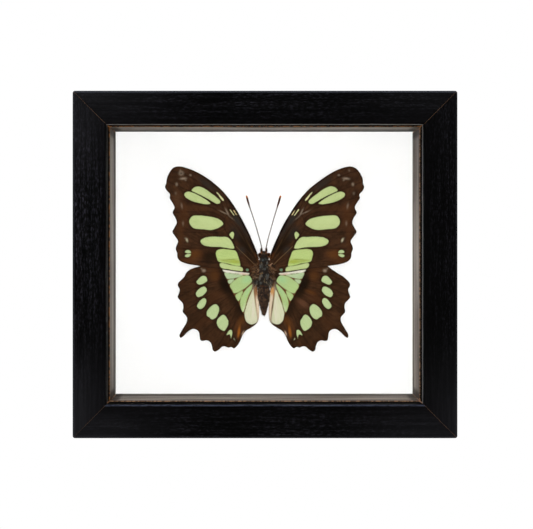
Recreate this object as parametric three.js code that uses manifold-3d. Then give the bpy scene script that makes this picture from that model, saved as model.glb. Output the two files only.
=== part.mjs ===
// Framed butterfly specimen: a black stained wooden box frame with a glass front, dark wooden spacers,
// a white mount board and one spread butterfly glued to the board by its thorax.
// Millimetres, +Z up, the front faces -Y, the origin is the middle of the underside.

import * as THREE from 'three';
import { mergeVertices } from 'three/addons/utils/BufferGeometryUtils.js';
import Module from 'manifold-3d';

// Driving dimensions of the frame
const WIDTH = 158.8;
const HEIGHT = 143.4;
const DEPTH = 38;
const FACE_WIDTH = 13.6;
const REBATE_WALL = 6.6;
const LIP_DEPTH = 5.8;
const FRONT_ROUND = 0.8;
const LIP_CHAMFER = 0.7;
const BACK_CHAMFER = 0.5;
const MITRE_GAP = 0.1;

// The stack in the rebate, from the glass to the back board
const SIDE_PLAY = 0.3;
const LAYER_GAP = 0.1;
const GLASS_THICKNESS = 2;
const SPACER_DEPTH = 19;
const SPACER_REACH = 0.8;
const BOARD_THICKNESS = 3;
const BACK_THICKNESS = 3;

// Steel tabs driven into the rails
const TAB_WIDTH = 8;
const TAB_THICKNESS = 0.4;
const TAB_BITE = 4.5;
const TAB_REACH = 9;
const TAB_PLAY = 0.3;
const TAB_FROM_END = 48;

// Toothed hanger and its rivets
const HANGER_LENGTH = 44;
const HANGER_HEIGHT = 10;
const HANGER_THICKNESS = 0.9;
const HANGER_LIFT = 1.2;
const HANGER_FOOT = 9;
const HANGER_BELOW_TOP = 27;
const TOOTH_COUNT = 8;
const TOOTH_PITCH = 2.4;
const TOOTH_HEIGHT = 1.6;
const RIVET_RADIUS = 1.2;
const RIVET_HEAD_RADIUS = 2.4;
const RIVET_HEAD_HEIGHT = 0.8;
const RIVET_DOME_RADIUS = 1.9;
const RIVET_DOME_HEIGHT = 0.55;
const RIVET_PLAY = 0.3;
const RIVET_FROM_END = 4.2;

// The butterfly: its axis, its height in the frame and its layers in front of the board
const BODY_AXIS = -0.25;
const WING_ORIGIN_HEIGHT = HEIGHT / 2 - 0.69;
const FOREWING_LIFT = 4.9;
const HINDWING_LIFT = 4.0;
const WING_THICKNESS = 0.3;
const BODY_LIFT = 4.2;
const CURVE_STEPS = 3;
const ROUND_STEPS = 3;

// Layer positions along Y, front to back
const FRONT = -DEPTH / 2;
const LIP_BACK = FRONT + LIP_DEPTH;
const GLASS_FRONT = LIP_BACK + LAYER_GAP;
const SPACER_FRONT = GLASS_FRONT + GLASS_THICKNESS + LAYER_GAP;
const BOARD_FRONT = SPACER_FRONT + SPACER_DEPTH + LAYER_GAP;
const BACK_FRONT = BOARD_FRONT + BOARD_THICKNESS + LAYER_GAP;
const BACK_REAR = BACK_FRONT + BACK_THICKNESS;
const STACK_EDGE = REBATE_WALL + SIDE_PLAY;

// Wing outlines of the right side, from the body axis outwards and up, each a closed smooth curve.
// Scallops have one point on each crest and one in each hollow.
const FOREWING_OUTLINE = [
  [2.6, 4.3], [3.9, 7.8], [6.0, 12.5], [8.3, 17.2], [11.2, 22.0], [13.7, 26.0], [16.8, 30.0], [19.8, 33.1],
  [25.0, 37.1], [30.0, 40.3], [34.5, 42.2], [37.3, 42.65], [39.6, 42.0], [41.4, 40.0], [42.5, 37.4],
  [42.9, 35.2], [43.2, 33.8], [42.5, 32.2], [41.15, 30.6], [41.2, 28.9], [40.1, 27.1], [39.2, 24.9],
  [39.8, 22.7], [38.7, 20.6], [38.1, 18.4], [39.05, 16.0], [39.85, 14.4], [38.6, 12.4], [37.45, 10.3],
  [38.0, 8.3], [38.25, 7.0], [37.7, 5.2], [37.4, 3.2], [36.0, 1.6], [32.5, 0.4], [28.5, -0.1], [25.0, -1.0],
  [20.0, -1.5], [15.0, -2.3], [10.0, -3.0], [6.0, -3.3], [3.4, -2.4], [2.3, 0.5],
];
const HINDWING_COSTA_RIGHT = [
  [8.0, -1.0], [16.0, 0.6], [23.0, 0.8], [27.3, -0.5], [29.5, -2.05], [32.0, -3.7], [34.3, -5.1],
];
const HINDWING_COSTA_LEFT = [
  [8.0, -1.0], [16.0, 0.6], [23.0, 0.6], [28.0, -0.7], [30.0, -1.25], [32.2, -2.2], [33.6, -3.5],
  [34.2, -5.0],
];
const HINDWING_MARGIN = [
  [36.9, -8.0], [37.05, -9.0], [36.3, -10.6], [36.7, -12.4], [37.2, -13.8], [36.4, -15.0], [35.0, -16.5],
  [34.7, -18.3], [35.0, -20.2], [34.2, -21.4], [33.1, -22.8], [33.2, -24.8], [34.7, -27.45], [36.2, -30.6],
  [35.9, -31.3], [34.9, -30.75], [33.0, -28.9], [31.0, -27.5], [29.2, -27.7], [27.9, -29.0], [27.5, -31.2],
  [27.3, -32.5], [26.4, -32.85], [24.6, -32.5], [23.0, -33.3], [22.2, -35.0], [21.8, -36.7], [21.1, -37.35],
  [19.5, -36.5], [18.0, -35.2], [16.6, -35.1], [15.2, -35.7], [14.0, -35.4], [12.8, -36.0], [11.5, -34.9],
  [10.1, -32.9], [9.1, -30.2], [7.65, -28.25], [5.3, -26.8], [3.5, -25.4], [2.45, -23.8], [2.3, -20.0],
  [2.35, -17.0], [2.55, -14.0], [2.75, -11.0], [2.7, -8.0], [2.65, -5.0], [4.5, -2.4],
];

// The left wings mirror the right ones, the forewing slightly narrower and the hindwing set a little wider
const LEFT_FOREWING = { scale: 0.985, shift: 0.3 };
const LEFT_HINDWING = { scale: 1, shift: 0.4 };

const wasm = await Module();
wasm.setup();

// Finishes
function finish(colour, roughness, metalness = 0) {
  return new THREE.MeshStandardMaterial({ color: colour, roughness, metalness });
}
const blackStain = () => finish(0x17171a, 0.45);
const darkStain = () => finish(0x2a2320, 0.4);
const clearGlass = () => finish(0xe8f0ee, 0.05);
const whiteBoard = () => finish(0xf8f8f8, 0.9);
const brownHardboard = () => finish(0x6b4a30, 0.8);
const zincSteel = () => finish(0xa8a8a6, 0.35, 1);
const brassPlate = () => finish(0xb8944c, 0.35, 1);
const wingScales = () => finish(0x3a2216, 0.7);
const bodyHair = () => finish(0x1c1a1c, 0.85);
const chitin = () => finish(0x2b1a10, 0.5);
const driedGlue = () => finish(0xd8d0b8, 0.3);

function named(name, geometry, material) {
  const mesh = new THREE.Mesh(geometry, material);
  mesh.name = name;
  return mesh;
}

// Boolean cut of one closed geometry by others
function solidOf(geometry) {
  const bare = geometry.clone();
  bare.deleteAttribute('normal');
  bare.deleteAttribute('uv');
  const merged = mergeVertices(bare, 1e-4);
  return new wasm.Manifold(new wasm.Mesh({
    numProp: 3,
    vertProperties: new Float32Array(merged.attributes.position.array),
    triVerts: new Uint32Array(merged.index.array),
  }));
}

function cut(geometry, tools) {
  const solid = tools.reduce((left, tool) => left.subtract(solidOf(tool)), solidOf(geometry));
  const mesh = solid.getMesh();
  const result = new THREE.BufferGeometry();
  result.setAttribute('position', new THREE.BufferAttribute(new Float32Array(mesh.vertProperties), 3));
  result.setIndex(new THREE.BufferAttribute(new Uint32Array(mesh.triVerts), 1));
  result.computeVertexNormals();
  return result;
}

// A block given by its low corner and its size
function block(low, size) {
  return new THREE.BoxGeometry(...size).translate(...low.map((value, axis) => value + size[axis] / 2));
}

// A strip along X with a mitre at both ends. The profile gives the distance in from the outer edge, and Y.
function mitredStrip(profile, length) {
  const shape = new THREE.Shape(profile.map(([inward, y]) => new THREE.Vector2(inward, y)));
  const geometry = new THREE.ExtrudeGeometry(shape, { depth: 1, bevelEnabled: false });
  const position = geometry.attributes.position;
  for (let i = 0; i < position.count; i += 1) {
    const inward = position.getX(i);
    const halfLength = length / 2 - inward - MITRE_GAP;
    position.setXYZ(i, (1 - 2 * position.getZ(i)) * halfLength, position.getY(i), inward);
  }
  geometry.computeVertexNormals();
  return geometry;
}

function railProfile() {
  const rounded = Array.from({ length: ROUND_STEPS + 1 }, (_, step) => {
    const angle = (step / ROUND_STEPS) * (Math.PI / 2);
    return [FRONT_ROUND * (1 - Math.cos(angle)), FRONT + FRONT_ROUND * (1 - Math.sin(angle))];
  });
  return [
    ...rounded,
    [FACE_WIDTH - LIP_CHAMFER, FRONT],
    [FACE_WIDTH, FRONT + LIP_CHAMFER],
    [FACE_WIDTH, LIP_BACK],
    [REBATE_WALL, LIP_BACK],
    [REBATE_WALL, -FRONT],
    [BACK_CHAMFER, -FRONT],
    [0, -FRONT - BACK_CHAMFER],
  ];
}

function spacerProfile() {
  const inner = FACE_WIDTH + SPACER_REACH;
  const rear = SPACER_FRONT + SPACER_DEPTH;
  return [[STACK_EDGE, SPACER_FRONT], [inner, SPACER_FRONT], [inner, rear], [STACK_EDGE, rear]];
}

// A tab lies flat behind the back board, its square end in the rail and its round end towards the middle
function tabGeometry(play) {
  const half = TAB_WIDTH / 2 + play;
  const root = REBATE_WALL - TAB_BITE - play;
  const tip = REBATE_WALL + TAB_REACH;
  const shape = new THREE.Shape();
  shape.moveTo(-half, root);
  shape.lineTo(half, root);
  shape.lineTo(half, tip - half);
  shape.absarc(0, tip - half, half, 0, Math.PI, false);
  shape.closePath();
  const thickness = TAB_THICKNESS + 2 * play;
  const settings = { depth: thickness, bevelEnabled: false, curveSegments: 8 };
  const geometry = new THREE.ExtrudeGeometry(shape, settings);
  return geometry.rotateX(Math.PI / 2).translate(0, BACK_REAR + TAB_PLAY + TAB_THICKNESS + play, 0);
}

// One side of the frame: its rail, spacer and two tabs, built lying along X with the outer edge at Z 0
function frameSide(name, length) {
  const side = new THREE.Group();
  const tabPlaces = { a: -(length / 2 - TAB_FROM_END), b: length / 2 - TAB_FROM_END };
  const slits = Object.values(tabPlaces).map((x) => tabGeometry(TAB_PLAY).translate(x, 0, 0));
  side.add(named(`rail_${name}`, cut(mitredStrip(railProfile(), length), slits), blackStain()));
  side.add(named(`spacer_${name}`, mitredStrip(spacerProfile(), length), darkStain()));
  for (const [letter, x] of Object.entries(tabPlaces)) {
    const tab = named(`tab_${name}_${letter}`, tabGeometry(0), zincSteel());
    tab.position.x = x;
    side.add(tab);
  }
  return side;
}

function woodenFrame() {
  const frame = new THREE.Group();
  const bottom = frameSide('bottom', WIDTH);
  const top = frameSide('top', WIDTH);
  top.position.z = HEIGHT;
  top.rotation.y = Math.PI;
  const left = frameSide('left', HEIGHT);
  left.position.set(-WIDTH / 2, 0, HEIGHT / 2);
  left.rotation.y = Math.PI / 2;
  const right = frameSide('right', HEIGHT);
  right.position.set(WIDTH / 2, 0, HEIGHT / 2);
  right.rotation.y = -Math.PI / 2;
  frame.add(bottom, top, left, right);
  return frame;
}

// A flat sheet that fills the rebate
function sheet(front, thickness) {
  return block(
    [-WIDTH / 2 + STACK_EDGE, front, STACK_EDGE],
    [WIDTH - 2 * STACK_EDGE, thickness, HEIGHT - 2 * STACK_EDGE],
  );
}

const HANGER_CENTRE_Z = HEIGHT - HANGER_BELOW_TOP;
const RIVET_X = HANGER_LENGTH / 2 - RIVET_FROM_END;

function rivetHole(x, front, depth) {
  const hole = new THREE.CylinderGeometry(RIVET_RADIUS + RIVET_PLAY, RIVET_RADIUS + RIVET_PLAY, depth, 12);
  return hole.translate(x, front + depth / 2, HANGER_CENTRE_Z);
}

function boards() {
  const group = new THREE.Group();
  const through = 2 * BACK_THICKNESS;
  const holes = [-RIVET_X, RIVET_X].map((x) => rivetHole(x, BACK_FRONT - BACK_THICKNESS / 2, through));
  group.add(named('glass_pane', sheet(GLASS_FRONT, GLASS_THICKNESS), clearGlass()));
  group.add(named('mount_board', sheet(BOARD_FRONT, BOARD_THICKNESS), whiteBoard()));
  group.add(named('back_board', cut(sheet(BACK_FRONT, BACK_THICKNESS), holes), brownHardboard()));
  return group;
}

// The hanger is a strip bent up between its two feet, with teeth cut in the lower edge of the raised part
function hangerPlate() {
  const half = HANGER_LENGTH / 2;
  const rise = HANGER_FOOT + HANGER_LIFT;
  const foot = BACK_REAR + LAYER_GAP;
  const centreLine = [[-half, 0], [-half + HANGER_FOOT, 0], [-half + rise, HANGER_LIFT]];
  const under = [...centreLine, ...centreLine.map(([x, y]) => [-x, y]).reverse()];
  const over = under.map(([x, y]) => [x, y + HANGER_THICKNESS]).reverse();
  const shape = new THREE.Shape([...under, ...over].map(([x, y]) => new THREE.Vector2(x, y)));
  const strip = new THREE.ExtrudeGeometry(shape, { depth: HANGER_HEIGHT, bevelEnabled: false });
  strip.translate(0, foot, HANGER_CENTRE_Z - HANGER_HEIGHT / 2);
  const teeth = new THREE.Shape();
  const teethHalf = (TOOTH_COUNT * TOOTH_PITCH) / 2;
  teeth.moveTo(teethHalf, -TOOTH_HEIGHT);
  for (let i = 0; i <= TOOTH_COUNT; i += 1) {
    teeth.lineTo(teethHalf - i * TOOTH_PITCH, 0);
    if (i < TOOTH_COUNT) {
      teeth.lineTo(teethHalf - (i + 0.5) * TOOTH_PITCH, TOOTH_HEIGHT);
    }
  }
  teeth.lineTo(-teethHalf, -TOOTH_HEIGHT);
  const notchDepth = 2 * (HANGER_LIFT + HANGER_THICKNESS);
  const notches = new THREE.ExtrudeGeometry(teeth, { depth: notchDepth, bevelEnabled: false });
  notches.rotateX(Math.PI / 2).translate(0, foot + notchDepth, HANGER_CENTRE_Z - HANGER_HEIGHT / 2);
  const holes = [-RIVET_X, RIVET_X].map((x) => rivetHole(x, foot - HANGER_THICKNESS, 3 * HANGER_THICKNESS));
  return cut(strip, [notches, ...holes]);
}

function rivet(x) {
  const tail = BACK_FRONT + LAYER_GAP;
  const seat = BACK_REAR + LAYER_GAP + HANGER_THICKNESS + LAYER_GAP;
  const profile = [
    [0, tail],
    [RIVET_RADIUS, tail],
    [RIVET_RADIUS, seat],
    [RIVET_HEAD_RADIUS, seat],
    [RIVET_DOME_RADIUS, seat + RIVET_DOME_HEIGHT],
    [0, seat + RIVET_HEAD_HEIGHT],
  ];
  const points = profile.map(([radius, y]) => new THREE.Vector2(radius, y));
  return new THREE.LatheGeometry(points, 12).translate(x, 0, HANGER_CENTRE_Z);
}

function hanging() {
  const group = new THREE.Group();
  group.add(named('hanger', hangerPlate(), brassPlate()));
  group.add(named('rivet_left', rivet(-RIVET_X), brassPlate()));
  group.add(named('rivet_right', rivet(RIVET_X), brassPlate()));
  return group;
}

// A wing is a thin plate with a smooth closed outline, its front face at the given lift off the board
function wing(outline, lift) {
  const knots = outline.map(([x, z]) => new THREE.Vector3(x, z, 0));
  const curve = new THREE.CatmullRomCurve3(knots, true, 'centripetal');
  const points = curve.getPoints(outline.length * CURVE_STEPS).slice(0, -1);
  const shape = new THREE.Shape(points.map((point) => new THREE.Vector2(point.x, point.y)));
  const plate = new THREE.ExtrudeGeometry(shape, { depth: WING_THICKNESS, bevelEnabled: false });
  return plate.rotateX(Math.PI / 2).translate(0, BOARD_FRONT - lift + WING_THICKNESS, 0);
}

function mirrored(outline, { scale, shift }) {
  return outline.map(([x, z]) => [-(shift + scale * x), z]);
}

function wings() {
  const group = new THREE.Group();
  const hindwingRight = [...HINDWING_COSTA_RIGHT, ...HINDWING_MARGIN];
  const hindwingLeft = mirrored([...HINDWING_COSTA_LEFT, ...HINDWING_MARGIN], LEFT_HINDWING);
  const forewingLeft = mirrored(FOREWING_OUTLINE, LEFT_FOREWING);
  group.add(named('forewing_right', wing(FOREWING_OUTLINE, FOREWING_LIFT), wingScales()));
  group.add(named('forewing_left', wing(forewingLeft, FOREWING_LIFT), wingScales()));
  group.add(named('hindwing_right', wing(hindwingRight, HINDWING_LIFT), wingScales()));
  group.add(named('hindwing_left', wing(hindwingLeft, HINDWING_LIFT), wingScales()));
  return group;
}

// A round body segment along Z, of height and half width, with its depth along Y as a ratio of its width
function segment(profile, depthRatio, x = BODY_AXIS, lift = BODY_LIFT) {
  const points = profile.map(([z, radius]) => new THREE.Vector2(radius, z));
  const geometry = new THREE.LatheGeometry(points, 12);
  return geometry.scale(1, 1, depthRatio).rotateX(Math.PI / 2).translate(x, BOARD_FRONT - lift, 0);
}

// Body profiles along the axis: height, half width
const THORAX = [
  [-8.7, 0], [-8.4, 0.9], [-7.0, 1.8], [-4.5, 2.2], [-1.5, 2.2], [1.0, 1.9], [2.4, 1.2], [2.8, 0],
];
const ABDOMEN = [
  [-21.7, 0], [-21.4, 0.4], [-20.0, 0.75], [-18.0, 1.4], [-16.0, 2.0], [-14.0, 2.4], [-12.0, 2.55],
  [-10.3, 2.45], [-9.3, 1.6], [-8.95, 0],
];
const HEAD = [[3.0, 0], [3.3, 0.9], [4.1, 1.45], [5.0, 1.45], [5.9, 0.9], [6.25, 0]];
const PALP = [[6.1, 0], [6.2, 0.35], [6.8, 0.45], [7.4, 0.25], [7.7, 0]];
const THORAX_DEPTH_RATIO = 1.2;
const ABDOMEN_DEPTH_RATIO = 0.95;
const HEAD_DEPTH_RATIO = 1.1;
const EYE = { out: 1.75, z: 4.4, radius: 1.05, play: 0.15 };
const PALP_PLACE = { out: 1.0, lift: 3.4 };

function ball(x, y, z, radius) {
  return new THREE.SphereGeometry(radius, 12, 8).translate(x, y, z);
}

function bodySegments() {
  const group = new THREE.Group();
  const eyeY = BOARD_FRONT - BODY_LIFT;
  const sides = { left: -1, right: 1 };
  const sockets = Object.values(sides).map((sign) => (
    ball(BODY_AXIS + sign * EYE.out, eyeY, EYE.z, EYE.radius + EYE.play)
  ));
  group.add(named('thorax', segment(THORAX, THORAX_DEPTH_RATIO), bodyHair()));
  group.add(named('abdomen', segment(ABDOMEN, ABDOMEN_DEPTH_RATIO), bodyHair()));
  group.add(named('head', cut(segment(HEAD, HEAD_DEPTH_RATIO), sockets), bodyHair()));
  for (const [side, sign] of Object.entries(sides)) {
    const eye = ball(BODY_AXIS + sign * EYE.out, eyeY, EYE.z, EYE.radius);
    const palp = segment(PALP, 1, BODY_AXIS + sign * PALP_PLACE.out, PALP_PLACE.lift);
    group.add(named(`eye_${side}`, eye, chitin()));
    group.add(named(`palp_${side}`, palp, chitin()));
  }
  return group;
}

// A thin limb: a round profile of length and radius, bent along a smooth curve of points
function limb(points, profile, sides) {
  const knots = points.map((point) => new THREE.Vector3(...point));
  const curve = new THREE.CatmullRomCurve3(knots, false, 'centripetal');
  const rings = profile.map(([along, radius]) => new THREE.Vector2(radius, along));
  const lathe = new THREE.LatheGeometry(rings, sides);
  const position = lathe.attributes.position;
  const across = new THREE.Vector3();
  const away = new THREE.Vector3();
  const depthAxis = new THREE.Vector3(0, 1, 0);
  for (let i = 0; i < position.count; i += 1) {
    const along = position.getY(i);
    const tangent = curve.getTangentAt(along);
    across.crossVectors(depthAxis, tangent).normalize();
    away.crossVectors(across, tangent);
    const place = curve.getPointAt(along);
    place.addScaledVector(across, position.getX(i)).addScaledVector(away, position.getZ(i));
    position.setXYZ(i, place.x, place.y, place.z);
  }
  lathe.computeVertexNormals();
  return lathe;
}

// Antennae run from the head to a slim club; points are out from the axis, lift off the board, and height
const ANTENNA_RIGHT = [[0.7, 5.2, 6.6], [1.6, 5.3, 10], [4.0, 5.2, 19.2], [5.9, 5.0, 26], [7.05, 4.9, 30]];
const ANTENNA_LEFT = [[0.8, 5.2, 6.6], [1.7, 5.3, 10], [4.5, 5.2, 19.8], [6.4, 5.0, 26], [7.35, 4.9, 30]];
const ANTENNA_PROFILE = [
  [0, 0], [0.004, 0.17], [0.25, 0.15], [0.5, 0.15], [0.78, 0.17], [0.84, 0.28], [0.9, 0.4], [0.96, 0.42],
  [0.99, 0.26], [1, 0],
];
const LEG_PROFILE = [[0, 0], [0.02, 0.24], [0.3, 0.26], [0.55, 0.18], [0.97, 0.1], [1, 0]];
const LEG_MID = [[1.3, 1.15, -1.6], [2.4, 0.9, -2.6], [3.6, 0.7, -3.2], [2.9, 0.55, -5.4], [2.2, 0.45, -7.2]];
const LEG_HIND = [
  [1.2, 1.15, -4.8], [2.3, 0.9, -6.2], [3.4, 0.7, -8.6], [2.6, 0.55, -11.4], [1.9, 0.45, -13.2],
];
const LIMB_SIDES = 6;

function limbs() {
  const group = new THREE.Group();
  const add = (name, points, sign, profile) => {
    const placed = points.map(([out, lift, z]) => [BODY_AXIS + sign * out, BOARD_FRONT - lift, z]);
    group.add(named(name, limb(placed, profile, LIMB_SIDES), chitin()));
  };
  add('antenna_left', ANTENNA_LEFT, -1, ANTENNA_PROFILE);
  add('antenna_right', ANTENNA_RIGHT, 1, ANTENNA_PROFILE);
  add('leg_mid_left', LEG_MID, -1, LEG_PROFILE);
  add('leg_mid_right', LEG_MID, 1, LEG_PROFILE);
  add('leg_hind_left', LEG_HIND, -1, LEG_PROFILE);
  add('leg_hind_right', LEG_HIND, 1, LEG_PROFILE);
  return group;
}

// A low drop of glue between the thorax and the board
const GLUE = { z: -3, radius: 0.85, topRadius: 0.7, height: 1.25, shoulder: 1 };

function glueDrop() {
  const foot = BOARD_FRONT - LAYER_GAP;
  const profile = [[0, GLUE.height], [GLUE.topRadius, GLUE.shoulder], [GLUE.radius, 0], [0, 0]];
  const points = profile.map(([radius, lift]) => new THREE.Vector2(radius, foot - lift));
  const drop = new THREE.LatheGeometry(points, 10).translate(BODY_AXIS, 0, GLUE.z);
  return named('glue_pad', drop, driedGlue());
}

function butterfly() {
  const group = new THREE.Group();
  group.position.z = WING_ORIGIN_HEIGHT;
  group.add(wings(), bodySegments(), limbs(), glueDrop());
  return group;
}

const framedButterfly = new THREE.Group();
framedButterfly.add(woodenFrame(), boards(), hanging(), butterfly());

export default framedButterfly;
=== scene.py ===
"""Framed butterfly specimen: black stained box frame, glass, white mount board and one spread butterfly."""
import math

import bpy
import numpy as np
from mathutils import Matrix, Vector
from mathutils.geometry import delaunay_2d_cdt


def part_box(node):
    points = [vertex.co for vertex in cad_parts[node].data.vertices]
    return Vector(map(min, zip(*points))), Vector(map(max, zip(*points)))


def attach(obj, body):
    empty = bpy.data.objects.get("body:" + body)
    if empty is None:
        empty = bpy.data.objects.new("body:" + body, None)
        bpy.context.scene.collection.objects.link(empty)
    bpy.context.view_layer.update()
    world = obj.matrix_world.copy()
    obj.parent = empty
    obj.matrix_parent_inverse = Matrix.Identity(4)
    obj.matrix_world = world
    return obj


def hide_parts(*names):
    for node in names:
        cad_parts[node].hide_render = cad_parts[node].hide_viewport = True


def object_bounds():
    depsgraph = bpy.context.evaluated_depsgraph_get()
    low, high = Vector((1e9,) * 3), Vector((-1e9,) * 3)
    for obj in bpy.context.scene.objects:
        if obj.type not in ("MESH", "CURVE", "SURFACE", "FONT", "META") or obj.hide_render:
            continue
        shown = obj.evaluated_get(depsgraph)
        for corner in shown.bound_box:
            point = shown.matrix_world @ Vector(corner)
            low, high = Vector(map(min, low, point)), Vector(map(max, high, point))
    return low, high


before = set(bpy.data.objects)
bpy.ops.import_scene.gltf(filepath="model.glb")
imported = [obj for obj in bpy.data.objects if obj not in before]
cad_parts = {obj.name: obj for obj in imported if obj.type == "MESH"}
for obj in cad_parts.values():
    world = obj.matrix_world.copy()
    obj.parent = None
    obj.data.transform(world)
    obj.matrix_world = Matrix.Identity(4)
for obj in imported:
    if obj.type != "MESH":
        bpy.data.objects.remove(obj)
cad_low, cad_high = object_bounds()

MM = 0.001
WIDTH = cad_high.x - cad_low.x
HEIGHT = cad_high.z - cad_low.z
FRONT = cad_low.y
BACK = cad_high.y


# Shader building

class Value:
    """A shader socket in Python arithmetic: each operator adds one Math node."""

    def __init__(self, finish, socket):
        self.finish = finish
        self.socket = socket

    def math(self, operation, *others):
        made = self.finish.tree.nodes.new("ShaderNodeMath")
        made.operation = operation
        for slot, value in zip(made.inputs, (self, *others)):
            self.finish.put(slot, value)
        return Value(self.finish, made.outputs[0])

    def __add__(self, other):
        return self.math("ADD", other)

    def __mul__(self, other):
        return self.math("MULTIPLY", other)

    def __sub__(self, other):
        return self.math("SUBTRACT", other)

    def __rsub__(self, other):
        return (self * -1) + other

    def __pow__(self, other):
        return self.math("POWER", other)

    def __abs__(self):
        return self.math("ABSOLUTE")

    def most(self, other):
        return self.math("MAXIMUM", other)

    __radd__ = __add__
    __rmul__ = __mul__


def paint(red, green, blue):
    """A colour as seen on screen, 0 to 255, as the linear colour that shaders take."""
    def linear(part):
        part /= 255
        return part / 12.92 if part <= 0.04045 else ((part + 0.055) / 1.055) ** 2.4
    return (linear(red), linear(green), linear(blue), 1.0)


class Finish:
    """A node material for one of the object's surfaces."""

    def __init__(self, name):
        self.material = bpy.data.materials.new(name)
        self.material.use_nodes = True
        self.tree = self.material.node_tree
        self.shader = self.tree.nodes["Principled BSDF"]
        self.output = self.tree.nodes["Material Output"]

    def put(self, slot, value):
        if isinstance(value, Value):
            self.tree.links.new(value.socket, slot)
        else:
            slot.default_value = value

    def node(self, kind, settings=None, sockets=None, out=0):
        made = self.tree.nodes.new("ShaderNode" + kind)
        for name, setting in (settings or {}).items():
            if name == "stops":
                ramp = made.color_ramp.elements
                while len(ramp) < len(setting):
                    ramp.new(1.0)
                for stop, (place, colour) in zip(ramp, setting):
                    stop.position, stop.color = place, colour
            else:
                setattr(made, name, setting)
        for name, value in (sockets or {}).items():
            self.put(made.inputs[name], value)
        return Value(self, made.outputs[out])

    def set(self, **sockets):
        for name, value in sockets.items():
            self.put(self.shader.inputs[name.replace("_", " ")], value)

    def place(self):
        return self.node("TexCoord", out="Object")

    def axes(self, vector=None):
        apart = self.node("SeparateXYZ", sockets={"Vector": vector or self.place()})
        outputs = apart.socket.node.outputs
        return [Value(self, outputs[axis]) for axis in "XYZ"]

    def vector(self, x, y, z):
        return self.node("CombineXYZ", sockets={"X": x, "Y": y, "Z": z})

    def noise(self, vector, scale, detail=3.0, roughness=0.5):
        settings = {"noise_dimensions": "3D"}
        sockets = {"Vector": vector, "Scale": scale, "Detail": detail, "Roughness": roughness}
        return self.node("TexNoise", settings, sockets)

    def stretched(self, vector, by):
        return self.node("VectorMath", {"operation": "MULTIPLY"}, {0: vector, 1: by})

    def step(self, value, low, high):
        """0 below low, 1 above high and smooth between them. With low above high it falls instead."""
        sockets = {"Value": value, "From Min": low, "From Max": high}
        return self.node("MapRange", {"interpolation_type": "SMOOTHSTEP"}, sockets)

    def mix(self, share, first, second):
        sockets = {0: share, 6: first, 7: second}
        return self.node("Mix", {"data_type": "RGBA"}, sockets, out=2)

    def ramp(self, value, *stops):
        return self.node("ValToRGB", {"stops": stops}, {"Fac": value})

    def attribute(self, name, out="Fac"):
        return self.node("Attribute", {"attribute_name": name}, out=out)

    def bump(self, height, distance, strength=1.0):
        return self.node("Bump", sockets={"Height": height, "Distance": distance, "Strength": strength})


# Modelling helpers

def begin(add, **sizes):
    """Adds a primitive alone, puts its place into its mesh and opens it for editing."""
    bpy.ops.object.select_all(action="DESELECT")
    add(**sizes)
    bpy.ops.object.transform_apply(location=True, rotation=True, scale=True)
    bpy.ops.object.mode_set(mode="EDIT")
    bpy.ops.mesh.select_all(action="SELECT")


def alone(piece):
    """Selects just this piece and makes it the active one."""
    bpy.ops.object.select_all(action="DESELECT")
    piece.select_set(True)
    bpy.context.view_layer.objects.active = piece


def pick(kind, test):
    """Selects, in edit mode, just the faces, edges or corners that pass a test on middle and normal."""
    bpy.ops.mesh.select_mode(type=kind)
    bpy.ops.mesh.select_all(action="DESELECT")
    bpy.ops.object.mode_set(mode="OBJECT")
    mesh = bpy.context.object.data
    parts = {"FACE": mesh.polygons, "EDGE": mesh.edges, "VERT": mesh.vertices}[kind]
    for part in parts:
        if kind == "FACE":
            part.select = test(part.center, part.normal)
        elif kind == "EDGE":
            first, second = (mesh.vertices[corner].co for corner in part.vertices)
            part.select = test((first + second) / 2, (second - first).normalized())
        else:
            part.select = test(part.co, part.normal)
    bpy.ops.object.mode_set(mode="EDIT")


def bisect(point, normal, clear=False):
    bpy.ops.mesh.select_all(action="SELECT")
    normal = Vector(normal).normalized()
    bpy.ops.mesh.bisect(plane_co=point, plane_no=normal, clear_outer=clear, use_fill=clear, threshold=1e-6)


def modify(piece, kind, **settings):
    """Adds a modifier and applies it."""
    bpy.context.view_layer.objects.active = piece
    modifier = piece.modifiers.new(kind.lower(), kind)
    for name, value in settings.items():
        setattr(modifier, name, value)
    bpy.ops.object.modifier_apply(modifier=modifier.name)


def close(name, smooth_angle=None):
    """Ends editing: merges doubles, turns the faces out and names the piece."""
    bpy.ops.mesh.select_all(action="SELECT")
    bpy.ops.mesh.remove_doubles(threshold=1e-7)
    bpy.ops.mesh.normals_make_consistent(inside=False)
    bpy.ops.object.mode_set(mode="OBJECT")
    piece = bpy.context.object
    piece.name = piece.data.name = name
    bpy.ops.object.transform_apply(location=True, rotation=True, scale=True)
    if smooth_angle is not None:
        bpy.ops.object.shade_smooth_by_angle(angle=math.radians(smooth_angle))
        modify(piece, "WEIGHTED_NORMAL", keep_sharp=True, weight=100)
    return piece


def copy_of(piece, name, matrix):
    """A copy with its own mesh, moved by a matrix that stays in the mesh."""
    other = piece.copy()
    other.data = piece.data.copy()
    other.name = other.data.name = name
    other.data.transform(matrix)
    bpy.context.collection.objects.link(other)
    return other


def mesh_piece(name, corners, faces):
    mesh = bpy.data.meshes.new(name)
    mesh.from_pydata([tuple(corner) for corner in corners], [], faces)
    mesh.update()
    piece = bpy.data.objects.new(name, mesh)
    bpy.context.collection.objects.link(piece)
    return piece


def finish_piece(piece, finish, slot, *nodes):
    """Gives a piece its finish, lets it ride on the frame and puts it in place of its CAD nodes."""
    piece.data.materials.clear()
    piece.data.materials.append(finish.material)
    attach(piece, "root")
    if nodes:
        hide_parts(*nodes)


# Wooden rails and spacers

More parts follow.
